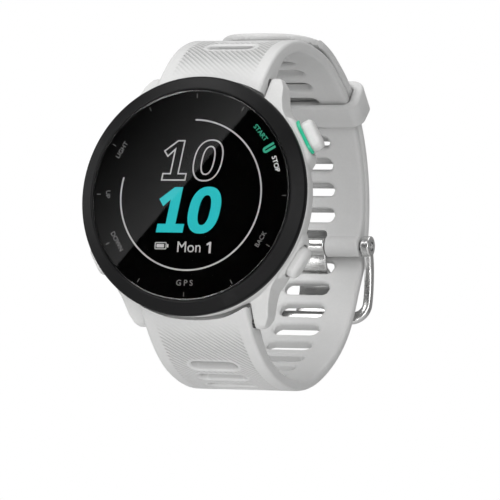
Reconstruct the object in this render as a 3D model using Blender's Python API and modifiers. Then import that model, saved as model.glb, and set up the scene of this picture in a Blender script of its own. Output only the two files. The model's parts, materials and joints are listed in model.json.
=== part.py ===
"""A GPS running watch: round case, five side buttons and a two-piece silicone band closed by a tang buckle.

World frame: +Z points to 12 o'clock, +X to 3 o'clock and -Y out of the dial. The origin is the middle of the
sensor window on the case back. Everything is modelled dial up, in millimetres, under the empty "dial_up",
which turns the dial to face -Y. In that frame x is 3 o'clock, y is 12 o'clock and z is the height above the
wrist.
"""

import math

import bmesh
import bpy
from mathutils import Matrix, Vector

MM = 0.001

# Case, seen from the side as radius and height above the sensor window
BEZEL_RADIUS = 21.0
LENS_RADIUS = 18.1
LENS_TOP = 11.6
LENS_THICKNESS = 1.1
BEZEL_RIM_Z = 10.3
BEZEL_FOOT_Z = 9.4
CASE_RADIUS = 20.9
CASE_BACK_RADIUS = 18.4
CASE_TOP_Z = 9.1
CASE_BACK_Z = 2.4
CASE_BORE = 16.2
FLANGE_BORE = 15.6
FLANGE_TOP_Z = 3.9
COVER_FACE_Z = 1.1
COVER_TOP_Z = 2.1
WINDOW_RADIUS = 7.4
WINDOW_FLAT_RADIUS = 6.6
GAP = 0.3  # clear space between two pieces that meet
FIT = 0.15  # clear space round a pin or a stem

# Lugs and the spring bars between them
LUG_INNER_X = 10.3
LUG_BAR_Y = 20.9
LUG_BAR_Z = 2.7
SPRING_BAR_RADIUS = 0.85
SPRING_PIN_RADIUS = 0.5
RELEASE_LEVER_X = 5.8
RELEASE_LEVER_LENGTH = 2.9

# Buttons: angle round the dial from 3 o'clock, cap reach from the dial's centre, cap width and cap height
BUTTONS = {
    "light": (150, 22.6, 5.6, 2.7),
    "up": (180, 22.6, 5.6, 2.7),
    "down": (210, 22.6, 5.6, 2.7),
    "start": (30, 24.0, 5.8, 3.0),
    "back": (-30, 22.7, 5.8, 3.3),
}
# Low swellings of the case side that the buttons sit in: name, angle, reach and half the angle they span
GUARDS = (("start", 30, 21.7, 17), ("back", -30, 21.3, 17), ("left", 180, 21.4, 50))
GUARD_SLOPE = 7.5  # degrees over which a guard sinks back into the case side
BUTTON_Z = 5.6
GUARD_TOP_Z = 7.75
CAP_FOOT_RADIUS = 19.3
POCKET_FLOOR_RADIUS = 18.5
STEM_RADIUS = 0.6
STEM_END = 15.2
STEM_HOLE_RADIUS = 1.5
SWITCH_FACE = 14.5
SEAL_RADIUS = 17.4  # where the seal ring and the clip sit on the stem, from the dial's centre
CLIP_RADIUS = 15.8

# Fasteners and small parts inside
SCREW_ANGLES = (45, 135, 225, 315)
SCREW_CIRCLE_RADIUS = 17.0
CHARGE_PIN_Y = -12
CHARGE_PIN_PITCH = 1.5
MOTOR_CENTRE = (-6.4, -8.3)
BUZZER_CENTRE = (-6.6, 6.2)

# Band: the closed loop is drawn in polar form round this centre. An angle of 0 is straight behind the case,
# and angles grow toward 12 o'clock.
LOOP_Y = 2.9
LOOP_Z = -20.9
BAND_WIDTH = 20.0
UPPER_OUTER = {-7: 27.6, 66: 27.6, 82: 28.3, 92: 28.7, 101: 29.4, 110: 30.4, 119: 31.3, 132: 32.2, 152: 32.5}
UPPER_THICKNESS = {-7: 2.0, 66: 2.0, 100: 2.1, 124: 2.5, 142: 4.3, 152: 4.4}
LOWER_OUTER = {
    -145: 35.7, -120: 35.2, -107: 34.3, -82: 32.5, -62: 31.2, -42: 30.5,
    -23: 29.2, -8: 29.7, 68: 29.7, 80: 30.15, 92: 30.7, 104: 31.4,
}
LOWER_THICKNESS = {-145: 4.2, -134: 4.0, -118: 2.6, -100: 2.1, -62: 1.9, -8: 1.8, 68: 1.8, 80: 1.6, 104: 1.4}
TAIL_TIP_ANGLE = 104
SLOT_WIDTH = 8.8
SLOT_HEIGHT = 2.6
UPPER_SLOT_PITCH = 4.75
LOWER_SLOT_PITCH = 4.65
TONGUE_SLOT_ANGLE = -14.3
LOWER_SLOTS = range(-12, 11)
UPPER_SLOT_ANGLE = 16.4
UPPER_SLOTS = range(-1, 12)

# Keeper, as angles and radii round the loop's centre
KEEPER_ANGLES = (46, 58)
KEEPER_RADII = (24.2, 31.3)
KEEPER_WINDOW_RADII = (25.3, 30.0)
KEEPER_HALF_WIDTH = 12.3

# Buckle
BAR_ANGLE = -7
BAR_LOOP_RADIUS = 25.6
BAR_RADIUS = 0.75
BAND_END_RADIUS = 2.0
FRAME_HALF_WIDTH = 12.2
FRAME_INNER_X = 10.6
FRAME_THICKNESS = 1.6
TONGUE_HALF_WIDTH = 3.2
TONGUE_THICKNESS = 0.9
BARREL_RADIUS = 1.65
NOTCH_HALF_WIDTH = 3.6

# Colour, roughness and metallic value of each finish
FINISHES = {
    "light polymer": ((0.56, 0.56, 0.56), 0.45, 0.0),
    "light silicone": ((0.55, 0.55, 0.55), 0.55, 0.0),
    "black satin": ((0.012, 0.012, 0.013), 0.35, 0.0),
    "green accent": ((0.01, 0.36, 0.23), 0.4, 0.0),
    "cover glass": ((0.02, 0.02, 0.022), 0.05, 0.0),
    "display": ((0.004, 0.004, 0.005), 0.25, 0.0),
    "polished steel": ((0.62, 0.62, 0.62), 0.15, 1.0),
    "plain steel": ((0.45, 0.45, 0.46), 0.35, 1.0),
    "gold contact": ((0.8, 0.55, 0.2), 0.25, 1.0),
    "board": ((0.01, 0.09, 0.04), 0.5, 0.0),
    "dark polymer": ((0.03, 0.03, 0.03), 0.5, 0.0),
    "white polymer": ((0.75, 0.75, 0.74), 0.4, 0.0),
    "rubber": ((0.02, 0.02, 0.02), 0.7, 0.0),
    "foil": ((0.5, 0.5, 0.52), 0.4, 1.0),
    "brass": ((0.6, 0.45, 0.2), 0.35, 1.0),
}

ROUND_STEPS = 36
# Turns a side view, drawn as (y, z), into an outline that is extruded along x
SIDE_VIEW = Matrix(((0, 0, 1, 0), (1, 0, 0, 0), (0, 1, 0, 0), (0, 0, 0, 1)))


# ---------------------------------------------------------------- scene and helpers


def clear_scene():
    for old in list(bpy.data.objects):
        bpy.data.objects.remove(old, do_unlink=True)


def new_collection(name):
    made = bpy.data.collections.new(name)
    bpy.context.scene.collection.children.link(made)
    return made


def finish(obj, kind):
    """Gives the object a material of its own."""
    colour, roughness, metallic = FINISHES[kind]
    material = bpy.data.materials.new(obj.name + "_finish")
    material.use_nodes = True
    shader = material.node_tree.nodes["Principled BSDF"]
    shader.inputs["Base Color"].default_value = (*colour, 1)
    shader.inputs["Roughness"].default_value = roughness
    shader.inputs["Metallic"].default_value = metallic
    material.diffuse_color = (*colour, 1)
    obj.data.materials.clear()
    obj.data.materials.append(material)
    return obj


def place(name, mesh):
    """Links a mesh as an object under the dial-up empty."""
    obj = bpy.data.objects.new(name, mesh)
    parts.objects.link(obj)
    obj.parent = dial_up
    return obj


def as_cutter(obj):
    """Turns a piece into a helper that cuts or joins, and that no render shows."""
    for home in list(obj.users_collection):
        home.objects.unlink(obj)
    cutters.objects.link(obj)
    obj.hide_render = True
    obj.display_type = "WIRE"
    return obj


def combine(obj, other, operation="DIFFERENCE"):
    as_cutter(other)
    modifier = obj.modifiers.new(operation.title() + " " + other.name, "BOOLEAN")
    modifier.operation = operation
    modifier.solver = "EXACT"
    modifier.object = other
    return obj


def shade_round(mesh):
    mesh.shade_smooth()
    mesh.set_sharp_from_angle(angle=math.radians(32))


def mesh_from(name, shape):
    bmesh.ops.recalc_face_normals(shape, faces=shape.faces)
    mesh = bpy.data.meshes.new(name)
    shape.to_mesh(mesh)
    shape.free()
    shade_round(mesh)
    return mesh


def turned(name, profile, steps=ROUND_STEPS):
    """A body turned round z from (radius, z) points, which run down the outer side from top to bottom."""
    mesh = bpy.data.meshes.new(name)
    points = [(radius * MM, 0, z * MM) for radius, z in profile]
    pairs = [(i, (i + 1) % len(points)) for i in range(len(points))]
    edges = [(a, b) for a, b in pairs if profile[a][0] > 0 or profile[b][0] > 0]
    mesh.from_pydata(points, edges, [])
    obj = place(name, mesh)
    screw = obj.modifiers.new("Turn", "SCREW")
    screw.axis = "Z"
    screw.steps = steps
    screw.render_steps = steps
    screw.use_merge_vertices = True
    screw.merge_threshold = 0.00001
    screw.use_smooth_shade = False
    return obj


def prism(name, outlines, low, high, turn=None):
    """A flat outline, with any holes as further outlines, extruded from low to high and then turned."""
    curve = bpy.data.curves.new(name, "CURVE")
    curve.dimensions = "2D"
    curve.fill_mode = "BOTH"
    curve.extrude = (high - low) / 2 * MM
    for outline in outlines:
        spline = curve.splines.new("POLY")
        spline.points.add(len(outline) - 1)
        for point, (across, up) in zip(spline.points, outline):
            point.co = (across * MM, up * MM, 0, 1)
        spline.use_cyclic_u = True
    drawing = bpy.data.objects.new(name, curve)
    bpy.context.scene.collection.objects.link(drawing)
    graph = bpy.context.evaluated_depsgraph_get()
    mesh = bpy.data.meshes.new_from_object(drawing.evaluated_get(graph))
    bpy.data.objects.remove(drawing)
    mesh.transform(Matrix.Translation((0, 0, (low + high) / 2 * MM)))
    mesh.transform(turn or Matrix())
    shape = bmesh.new()
    shape.from_mesh(mesh)
    bmesh.ops.remove_doubles(shape, verts=shape.verts, dist=1e-6)
    bpy.data.meshes.remove(mesh)
    return place(name, mesh_from(name, shape))


def rod(name, radius, start, end, segments=16):
    """A cylinder between two points."""
    start, end = Vector(start), Vector(end)
    run = end - start
    width = radius * MM
    shape = bmesh.new()
    bmesh.ops.create_cone(
        shape, cap_ends=True, segments=segments, radius1=width, radius2=width, depth=run.length * MM
    )
    turn = run.to_track_quat("Z", "Y").to_matrix().to_4x4()
    middle = (start + end) / 2 * MM
    bmesh.ops.transform(shape, matrix=Matrix.Translation(middle) @ turn, verts=shape.verts)
    return place(name, mesh_from(name, shape))


def block(name, low, high, bevel=0):
    """A box between two corners, with rounded edges where bevel is given."""
    low, high = Vector(low), Vector(high)
    shape = bmesh.new()
    bmesh.ops.create_cube(shape, size=1)
    bmesh.ops.scale(shape, vec=(high - low) * MM, verts=shape.verts)
    bmesh.ops.translate(shape, vec=(high + low) / 2 * MM, verts=shape.verts)
    if bevel:
        bmesh.ops.bevel(
            shape, geom=shape.edges[:], offset=bevel * MM, segments=1, affect="EDGES", profile=0.5
        )
    return place(name, mesh_from(name, shape))


def move_origin(obj, point):
    """Puts the object's origin on a point, in millimetres, without moving its shape."""
    shift = Vector(point) * MM
    obj.data.transform(Matrix.Translation(-shift))
    obj.location = shift
    return obj


def spin_about_dial(obj, degrees):
    obj.data.transform(Matrix.Rotation(math.radians(degrees), 4, "Z"))
    return obj


def arc(radius, start, end, steps, centre=(0, 0)):
    """Points along an arc, with angles in degrees."""
    angles = [math.radians(start + (end - start) * i / steps) for i in range(steps + 1)]
    return [(centre[0] + radius * math.cos(a), centre[1] + radius * math.sin(a)) for a in angles]


def circle(radius, steps=ROUND_STEPS, centre=(0, 0)):
    return arc(radius, 0, 360, steps, centre)[:-1]


def stadium(width, height, steps=4):
    """A slot outline with round ends."""
    reach = (width - height) / 2
    right = arc(height / 2, -90, 90, steps, (reach, 0))
    left = arc(height / 2, 90, 270, steps, (-reach, 0))
    return right + left


def rounded_box(low, high, radius, steps=4):
    left, right = low[0] + radius, high[0] - radius
    bottom, top = low[1] + radius, high[1] - radius
    points = []
    for turn, centre in enumerate(((right, top), (left, top), (left, bottom), (right, bottom))):
        points += arc(radius, 90 * turn, 90 * turn + 90, steps, centre)
    return points


def smooth_value(knots, at):
    """A smooth curve through a table of values that stays level between two equal ones."""
    xs = sorted(knots)
    ys = [knots[x] for x in xs]
    if at <= xs[0]:
        return ys[0]
    if at >= xs[-1]:
        return ys[-1]
    slopes = [(ys[i + 1] - ys[i]) / (xs[i + 1] - xs[i]) for i in range(len(xs) - 1)]
    tangents = [0.0]
    for before, after in zip(slopes, slopes[1:]):
        tangents.append(2 * before * after / (before + after) if before * after > 0 else 0.0)
    tangents.append(0.0)
    i = max(k for k in range(len(xs) - 1) if xs[k] <= at)
    span = xs[i + 1] - xs[i]
    t = (at - xs[i]) / span
    return (
        ys[i] * (1 + 2 * t) * (1 - t) ** 2
        + tangents[i] * span * t * (1 - t) ** 2
        + ys[i + 1] * t * t * (3 - 2 * t)
        + tangents[i + 1] * span * t * t * (t - 1)
    )


def band_outline(path, thickness):
    """The side view of a strip of even thickness along a path."""
    outer, inner = [], []
    for i, (y, z) in enumerate(path):
        ahead = path[min(i + 1, len(path) - 1)]
        behind = path[max(i - 1, 0)]
        run = Vector((ahead[0] - behind[0], ahead[1] - behind[1])).normalized()
        side = Vector((-run.y, run.x)) * thickness / 2
        outer.append((y + side.x, z + side.y))
        inner.append((y - side.x, z - side.y))
    return outer + inner[::-1]


def smooth_path(points, steps=4):
    """A Catmull-Rom curve through the points."""
    path = []
    for i in range(len(points) - 1):
        before = Vector(points[max(i - 1, 0)])
        start, end = Vector(points[i]), Vector(points[i + 1])
        after = Vector(points[min(i + 2, len(points) - 1)])
        for k in range(steps):
            t = k / steps
            path.append(
                tuple(
                    start
                    + (end - before) * t / 2
                    + (2 * before - 5 * start + 4 * end - after) * t * t / 2
                    + (3 * start - before - 3 * end + after) * t**3 / 2
                )
            )
    return path + [tuple(points[-1])]


# ---------------------------------------------------------------- case


def build_bezel_and_lens():
    lens_foot = LENS_TOP - LENS_THICKNESS
    ledge_z = lens_foot - 0.8
    bezel = turned(
        "bezel_ring",
        [
            (LENS_RADIUS + 0.5, LENS_TOP - 0.1),
            (BEZEL_RADIUS - 0.15, BEZEL_RIM_Z + 0.12),
            (BEZEL_RADIUS, BEZEL_RIM_Z - 0.1),
            (BEZEL_RADIUS, BEZEL_FOOT_Z),
            (19.5, BEZEL_FOOT_Z),
            (19.5, 8.6),
            (CASE_BORE, 8.6),
            (CASE_BORE, ledge_z),
            (LENS_RADIUS + GAP, ledge_z),
            (LENS_RADIUS + GAP, LENS_TOP - 0.3),
        ],
        steps=48,
    )
    finish(bezel, "black satin")
    lens = turned(
        "cover_lens",
        [
            (0, LENS_TOP),
            (LENS_RADIUS - 0.35, LENS_TOP),
            (LENS_RADIUS, LENS_TOP - 0.3),
            (LENS_RADIUS, lens_foot),
            (0, lens_foot),
        ],
        steps=48,
    )
    finish(lens, "cover glass")
    adhesive = turned(
        "lens_adhesive_ring",
        [(18.0, lens_foot - 0.25), (18.0, ledge_z + 0.25), (16.6, ledge_z + 0.25), (16.6, lens_foot - 0.25)],
    )
    finish(adhesive, "dark polymer")


def mirrored(obj, side_x, side_y):
    obj.data.transform(Matrix.Diagonal((side_x, side_y, 1, 1)))
    if side_x * side_y < 0:
        obj.data.flip_normals()
    return obj


def build_lug(side_x, side_y):
    """One lug: its side slopes from the case rim to a blunt tip, and its plan narrows toward that tip."""
    side = [
        (11, 8.6), (14.8, 8.3), (17.6, 6.3), (21.6, 3.4), (22.1, 2.5), (21.9, 1.5), (20.6, 1.0), (18.6, 1.4),
        (16.5, 2.6), (11, 3.4),
    ]
    plan = [
        (LUG_INNER_X, 14.2), (LUG_INNER_X, 22.5), (11.2, 22.3), (12.3, 21.6), (13.1, 20.2), (13.7, 17.8),
        (14.6, 15.6), (16.0, 13.6), (17.0, 11.6), (17.0, 11), (13.6, 11),
    ]
    lug = mirrored(prism("lug", [side], 9, 19, SIDE_VIEW), side_x, side_y)
    outline = mirrored(prism("lug_plan", [plan], 0, 9.5), side_x, side_y)
    return combine(lug, outline, "INTERSECT")


def button_guard(name, angle, reach, half_angle):
    """The low swelling of the case side that a button sits in. It sinks into the case at both ends."""
    outer = []
    for step in range(25):
        turn = half_angle * (step / 12 - 1)
        rise = min(1, (half_angle - abs(turn)) / GUARD_SLOPE)
        rise = rise * rise * (3 - 2 * rise)
        outer += arc(20 + (reach - 20) * rise, angle + turn, angle + turn, 1)[:1]
    inner = arc(CASE_BORE + 2, angle + half_angle + 6, angle - half_angle - 6, 12)
    return prism(name, [outer + inner], BUTTON_Z - 2.1, GUARD_TOP_Z)


def build_mid_case():
    case = turned(
        "mid_case",
        [
            (CASE_RADIUS - 0.4, CASE_TOP_Z),
            (CASE_RADIUS, CASE_TOP_Z - 0.3),
            (CASE_RADIUS, 8.0),
            (CASE_RADIUS - 0.3, 5.93),
            (19.77, 3.7),
            (18.8, CASE_BACK_Z + 0.2),
            (CASE_BACK_RADIUS, CASE_BACK_Z),
            (FLANGE_BORE, CASE_BACK_Z),
            (FLANGE_BORE, FLANGE_TOP_Z),
            (CASE_BORE, FLANGE_TOP_Z),
            (CASE_BORE, 8.3),
            (19.8, 8.3),
            (19.8, CASE_TOP_Z),
        ],
        steps=48,
    )
    finish(case, "light polymer")
    for side_x in (1, -1):
        for side_y in (1, -1):
            combine(case, build_lug(side_x, side_y), "UNION")
    for name, angle, reach, half_angle in GUARDS:
        combine(case, button_guard(name + "_guard", angle, reach, half_angle), "UNION")
    for name, (angle, reach, width, height) in BUTTONS.items():
        outline = stadium(width + 2 * GAP, height + 2 * GAP)
        pocket = prism(name + "_pocket", [outline], POCKET_FLOOR_RADIUS, 25, SIDE_VIEW)
        pocket.data.transform(Matrix.Translation((0, 0, BUTTON_Z * MM)))
        combine(case, spin_about_dial(pocket, angle))
        way_in = (CASE_BORE - 1, 0, BUTTON_Z)
        way_out = (POCKET_FLOOR_RADIUS + 1, 0, BUTTON_Z)
        hole = rod(name + "_stem_hole", STEM_HOLE_RADIUS, way_in, way_out, 12)
        combine(case, spin_about_dial(hole, angle))
    for side_y in (1, -1):
        for side_x in (1, -1):
            start = (side_x * (LUG_INNER_X - 1), side_y * LUG_BAR_Y, LUG_BAR_Z)
            end = (side_x * 11.9, side_y * LUG_BAR_Y, LUG_BAR_Z)
            combine(case, rod("lug_hole", SPRING_PIN_RADIUS + FIT, start, end, 12))
    for angle in SCREW_ANGLES:
        x, y = arc(SCREW_CIRCLE_RADIUS, angle, angle, 1)[0]
        combine(case, rod("screw_hole", 0.6, (x, y, 1.5), (x, y, FLANGE_TOP_Z + 0.2), 12))


def build_back():
    cover = turned(
        "back_cover",
        [
            (15.3, 3.0), (15.3, COVER_TOP_Z), (15.75, COVER_TOP_Z), (15.75, 1.7), (16.35, 1.7),
            (16.35, COVER_TOP_Z), (17.95, COVER_TOP_Z), (18.15, 1.9), (17.7, 1.3), (17.0, COVER_FACE_Z),
            (9.6, COVER_FACE_Z), (8.8, 0.35), (WINDOW_RADIUS + GAP, 0.3), (WINDOW_RADIUS + GAP, 2.0),
            (14.6, 2.0), (14.6, 3.0),
        ],
    )
    finish(cover, "light polymer")
    combine(cover, block("charge_port_recess", (-3.6, -13.3, 0.5), (3.6, -10.7, 1.45)))
    for i in range(4):
        x = CHARGE_PIN_PITCH * (i - 1.5)
        y = CHARGE_PIN_Y
        pin = rod(f"charge_pin_{i + 1}", 0.4, (x, y, 1.2), (x, y, 2.6), 12)
        finish(pin, "gold contact")
        combine(cover, rod("charge_pin_hole", 0.55, (x, y, 0.6), (x, y, 2.4), 12))
    for i, angle in enumerate(SCREW_ANGLES):
        x, y = arc(SCREW_CIRCLE_RADIUS, angle, angle, 1)[0]
        combine(cover, rod("screw_seat", 0.95, (x, y, 0.5), (x, y, 1.7), 12))
        combine(cover, rod("screw_way", 0.6, (x, y, 0.5), (x, y, 2.6), 8))
        screw = rod(f"back_screw_{i + 1}", 0.42, (x, y, 1.4), (x, y, 3.8), 8)
        combine(screw, rod("screw_head", 0.8, (x, y, 1.15), (x, y, 1.55), 12), "UNION")
        combine(screw, block("screw_slot", (x - 0.5, y - 0.12, 0.9), (x + 0.5, y + 0.12, 1.3)))
        combine(screw, block("screw_slot", (x - 0.12, y - 0.5, 0.9), (x + 0.12, y + 0.5, 1.3)))
        finish(screw, "plain steel")
    ring = circle(0.2, 4, (16.05, 2.03))
    gasket = turned("back_cover_gasket", ring[::-1], 32)
    finish(gasket, "rubber")
    window = turned(
        "sensor_window",
        [(0, 1.2), (WINDOW_RADIUS, 1.2), (WINDOW_RADIUS, 0.35), (WINDOW_FLAT_RADIUS, 0), (0, 0)],
    )
    finish(window, "cover glass")
    board = turned("heart_rate_board", [(0, 2.0), (6.6, 2.0), (6.6, 1.5), (0, 1.5)], 32)
    finish(board, "board")


# ---------------------------------------------------------------- inside the case


def cut_disc(radius, chord):
    """A round outline with a flat at the 6 o'clock side."""
    flat = math.degrees(math.asin(chord / radius))
    return arc(radius, -flat, 180 + flat, 36)


def build_display_stack():
    finish(prism("display_panel", [cut_disc(14.4, 13.4)], 9.3, 10.2), "display")
    finish(prism("backlight_plate", [cut_disc(14.1, 13.2)], 8.5, 9.1), "white polymer")
    window = rounded_box((-9.5, -10.5), (9.5, 10.5), 2)
    finish(prism("inner_frame", [circle(15.7), window], 7.5, 8.2), "dark polymer")


def build_electronics():
    finish(prism("main_board", [circle(14.8, 36), circle(1.2, 12, (-1.0, -12.3))], 6.4, 7.2), "board")
    finish(block("shield_can", (-11.0, -3.2, 5.0), (-3.0, 5.8, 6.1), 0.2), "foil")
    finish(block("battery_cell", (-1.8, -9.5, 2.9), (9.8, 9.5, 5.6), 0.5), "foil")
    strip = arc(15.8, 60, 120, 12) + arc(15.2, 120, 60, 12)
    finish(prism("gps_antenna", [strip], 4.6, 7.0), "brass")
    buzzer = turned("piezo_buzzer", [(0, 2.75), (4.2, 2.75), (4.2, 2.4), (0, 2.4)], 24)
    move_turned(buzzer, BUZZER_CENTRE)
    finish(buzzer, "brass")


def move_turned(obj, centre):
    """A turned body keeps its own axis, so it is placed by its location."""
    obj.location = (centre[0] * MM, centre[1] * MM, 0)
    return obj


def build_vibration_motor():
    can = turned(
        "vibration_motor_can",
        [
            (3.5, 5.9), (3.5, 3.0), (0, 3.0), (0, 5.7), (0.35, 5.7), (0.35, 3.4), (3.1, 3.4), (3.1, 5.9),
        ],
        24,
    )
    move_turned(can, MOTOR_CENTRE)
    finish(can, "plain steel")
    half_weight = arc(2.75, 0, 180, 12) + arc(1.1, 180, 360, 8)[1:-1]
    rotor = prism("vibration_motor_rotor", [half_weight, circle(0.55, 12)], 3.7, 5.2)
    move_turned(rotor, MOTOR_CENTRE)
    finish(rotor, "brass")


# ---------------------------------------------------------------- buttons


def build_button(name, angle, reach, width, height):
    cap = prism(f"{name}_button", [stadium(width, height)], CAP_FOOT_RADIUS, reach, SIDE_VIEW)
    cap.data.transform(Matrix.Translation((0, 0, BUTTON_Z * MM)))
    round_cap_edge(cap, reach)
    stem = rod(f"{name}_stem", STEM_RADIUS, (STEM_END, 0, BUTTON_Z), (CAP_FOOT_RADIUS + 0.5, 0, BUTTON_Z), 12)
    spin_about_dial(cap, angle)
    combine(cap, spin_about_dial(stem, angle), "UNION")
    seal = turned(f"{name}_seal_ring", circle(0.28, 5, (1.05, 0))[::-1], 10)
    seat_on_stem(seal, angle, SEAL_RADIUS)
    finish(seal, "rubber")
    ring = arc(1.45, 40, 320, 8) + arc(0.75, 320, 40, 8)
    clip = prism(f"{name}_retaining_clip", [ring], -0.17, 0.17)
    seat_on_stem(clip, angle, CLIP_RADIUS)
    finish(clip, "plain steel")
    switch = block(f"{name}_switch", (12.9, -1.5, BUTTON_Z - 0.7), (14.2, 1.5, BUTTON_Z + 0.5), 0.12)
    nub = rod(f"{name}_switch_nub", 0.5, (14.0, 0, BUTTON_Z - 0.1), (SWITCH_FACE, 0, BUTTON_Z - 0.1), 10)
    spin_about_dial(switch, angle)
    combine(switch, spin_about_dial(nub, angle), "UNION")
    finish(switch, "white polymer")
    finish(cap, "light polymer")


def round_cap_edge(cap, reach):
    """Softens the cap's outer face by bevelling the edges that ring it."""
    shape = bmesh.new()
    shape.from_mesh(cap.data)
    rim = [edge for edge in shape.edges if is_rim(edge, reach)]
    bmesh.ops.bevel(shape, geom=rim, offset=0.4 * MM, segments=1, affect="EDGES", profile=0.6)
    bmesh.ops.recalc_face_normals(shape, faces=shape.faces)
    shape.to_mesh(cap.data)
    shape.free()
    shade_round(cap.data)


def is_rim(edge, reach):
    """True for an edge of the outer face whose two faces meet at a corner."""
    on_face = all(abs(vertex.co.x - reach * MM) < 1e-6 for vertex in edge.verts)
    return on_face and len(edge.link_faces) == 2 and edge.calc_face_angle(0) > 1


def seat_on_stem(obj, angle, radius):
    """Sets a ring that was drawn flat onto the button's stem, at a radius from the dial's centre."""
    x, y = arc(radius, angle, angle, 1)[0]
    turn = Matrix.Rotation(math.radians(angle), 4, "Z") @ Matrix.Rotation(math.radians(90), 4, "Y")
    obj.location = (x * MM, y * MM, BUTTON_Z * MM)
    obj.rotation_euler = turn.to_euler()
    return obj


def build_buttons():
    for name, (angle, reach, width, height) in BUTTONS.items():
        build_button(name, angle, reach, width, height)
    build_accent()


def build_accent():
    """The green arch over the start button, just proud of the guard's face."""
    angle, _, width, height = BUTTONS["start"]
    guard_face = GUARDS[0][2]
    middle = (width - height) / 2
    inner, outer = height / 2 + 0.35, height / 2 + 0.8
    arch = arc(outer, 25, 90, 6, (middle, 0)) + arc(outer, 90, 155, 6, (-middle, 0))
    arch += arc(inner, 155, 90, 6, (-middle, 0)) + arc(inner, 90, 25, 6, (middle, 0))
    accent = prism("start_button_accent", [arch], guard_face + GAP, guard_face + GAP + 0.35, SIDE_VIEW)
    accent.data.transform(Matrix.Translation((0, 0, BUTTON_Z * MM)))
    spin_about_dial(accent, angle)
    finish(accent, "green accent")


# ---------------------------------------------------------------- band


def loop_point(angle, radius):
    """A point of the band's side view, as (y, z)."""
    turn = math.radians(angle)
    return (LOOP_Y + radius * math.sin(turn), LOOP_Z - radius * math.cos(turn))


def band_half(name, outer, thickness, start, end):
    """One half of the band: the area between its outer and inner faces, extruded across the wrist."""
    count = round(abs(end - start) / 4)
    angles = [start + (end - start) * i / count for i in range(count + 1)]
    outside = [loop_point(a, smooth_value(outer, a)) for a in angles]
    inside = [loop_point(a, smooth_value(outer, a) - smooth_value(thickness, a)) for a in angles]
    return prism(name, [outside + inside[::-1]], -BAND_WIDTH / 2, BAND_WIDTH / 2, SIDE_VIEW)


def step_along(outer, thickness, start, distance):
    """The angle reached by going a distance along the band's middle from a start angle."""
    angle = start
    step = math.copysign(0.5, distance)
    travelled = 0.0
    while travelled < abs(distance):
        radius = smooth_value(outer, angle) - smooth_value(thickness, angle) / 2
        travelled += abs(math.radians(step)) * radius
        angle += step
    return angle


def slot_angles(outer, thickness, first, numbers, pitch):
    """Where the slots lie, counted in steps of the pitch from a first slot."""
    return [step_along(outer, thickness, first, number * pitch) for number in numbers]


def slot_cutter(name, outer, thickness, angles):
    """All the slots of one band half, as one cutter."""
    shape = bmesh.new()
    for angle in angles:
        middle = smooth_value(outer, angle) - smooth_value(thickness, angle) / 2
        y, z = loop_point(angle, middle)
        turn = Matrix.Translation((0, y * MM, z * MM)) @ Matrix.Rotation(math.radians(angle), 4, "X")
        slot = prism("slot", [stadium(SLOT_WIDTH, SLOT_HEIGHT, 4)], -2.2, 2.2, turn)
        shape.from_mesh(slot.data)
        bpy.data.objects.remove(slot)
    return place(name, mesh_from(name, shape))


def case_clearance():
    """The case's outline with the gap that the band's ends keep to it."""
    return turned(
        "case_clearance",
        [
            (0, 13), (CASE_RADIUS + 0.4, 13), (CASE_RADIUS + 0.4, 5.8), (20.1, 3.6),
            (CASE_BACK_RADIUS + 0.5, CASE_BACK_Z), (CASE_BACK_RADIUS + 0.5, -3), (0, -3),
        ],
        48,
    )


def bar_hole_and_lever_way(band, side_y):
    """The spring bar's hole, and the opening on the wrist side for its release lever."""
    y, z = side_y * LUG_BAR_Y, LUG_BAR_Z
    hole = rod(band.name + "_bar_hole", SPRING_BAR_RADIUS + 0.2, (-11, y, z), (11, y, z), 16)
    combine(band, hole)
    outline = rounded_box((-0.8, RELEASE_LEVER_X - 2.2), (0.8, RELEASE_LEVER_X + 1.0), 0.5)
    way = prism(band.name + "_lever_way", [outline], 0.2, 4)
    way.data.transform(lever_turn(y, z))
    combine(band, way)


def lever_direction(y, z):
    """From a spring bar toward the middle of the loop, where the release lever points."""
    return (Vector((0, LOOP_Y, LOOP_Z)) - Vector((0, y, z))).normalized()


def lever_turn(y, z):
    """Puts an outline on a spring bar, with its second axis along x and its extrusion along the lever."""
    inward = lever_direction(y, z)
    along = Vector((1, 0, 0))
    across = along.cross(inward)
    turn = Matrix((across, along, inward)).transposed().to_4x4()
    return Matrix.Translation((0, y * MM, z * MM)) @ turn


def build_upper_strap():
    band = band_half("strap_upper", UPPER_OUTER, UPPER_THICKNESS, BAR_ANGLE, 151)
    y, z = loop_point(BAR_ANGLE, BAR_LOOP_RADIUS)
    tube = rod("band_end_tube", BAND_END_RADIUS, (-BAND_WIDTH / 2, y, z), (BAND_WIDTH / 2, y, z), 24)
    combine(band, tube, "UNION")
    combine(band, rod("bar_hole", BAR_RADIUS + 0.2, (-11, y, z), (11, y, z), 16))
    notch = block("tongue_notch", (-NOTCH_HALF_WIDTH, y - 3, z - 3), (NOTCH_HALF_WIDTH, y + 2.9, z + 3))
    combine(band, notch)
    angles = slot_angles(UPPER_OUTER, UPPER_THICKNESS, UPPER_SLOT_ANGLE, UPPER_SLOTS, UPPER_SLOT_PITCH)
    combine(band, slot_cutter("upper_slots", UPPER_OUTER, UPPER_THICKNESS, angles))
    combine(band, case_clearance())
    bar_hole_and_lever_way(band, 1)
    finish(band, "light silicone")


def tail_tip_cutter():
    """Everything beyond the tail's half-round tip, seen from 12 o'clock."""
    _, z = loop_point(TAIL_TIP_ANGLE, 29.8)
    half = BAND_WIDTH / 2 + 0.1
    notch = arc(half, 180, 0, 16, (0, 0))
    outline = [(-half - 2, 0)] + notch + [(half + 2, 0), (half + 2, half + 4), (-half - 2, half + 4)]
    turn = Matrix.Translation((0, 0, (z - half) * MM)) @ Matrix.Rotation(math.radians(90), 4, "X")
    return prism("tail_tip", [outline], -40, -27, turn)


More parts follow.
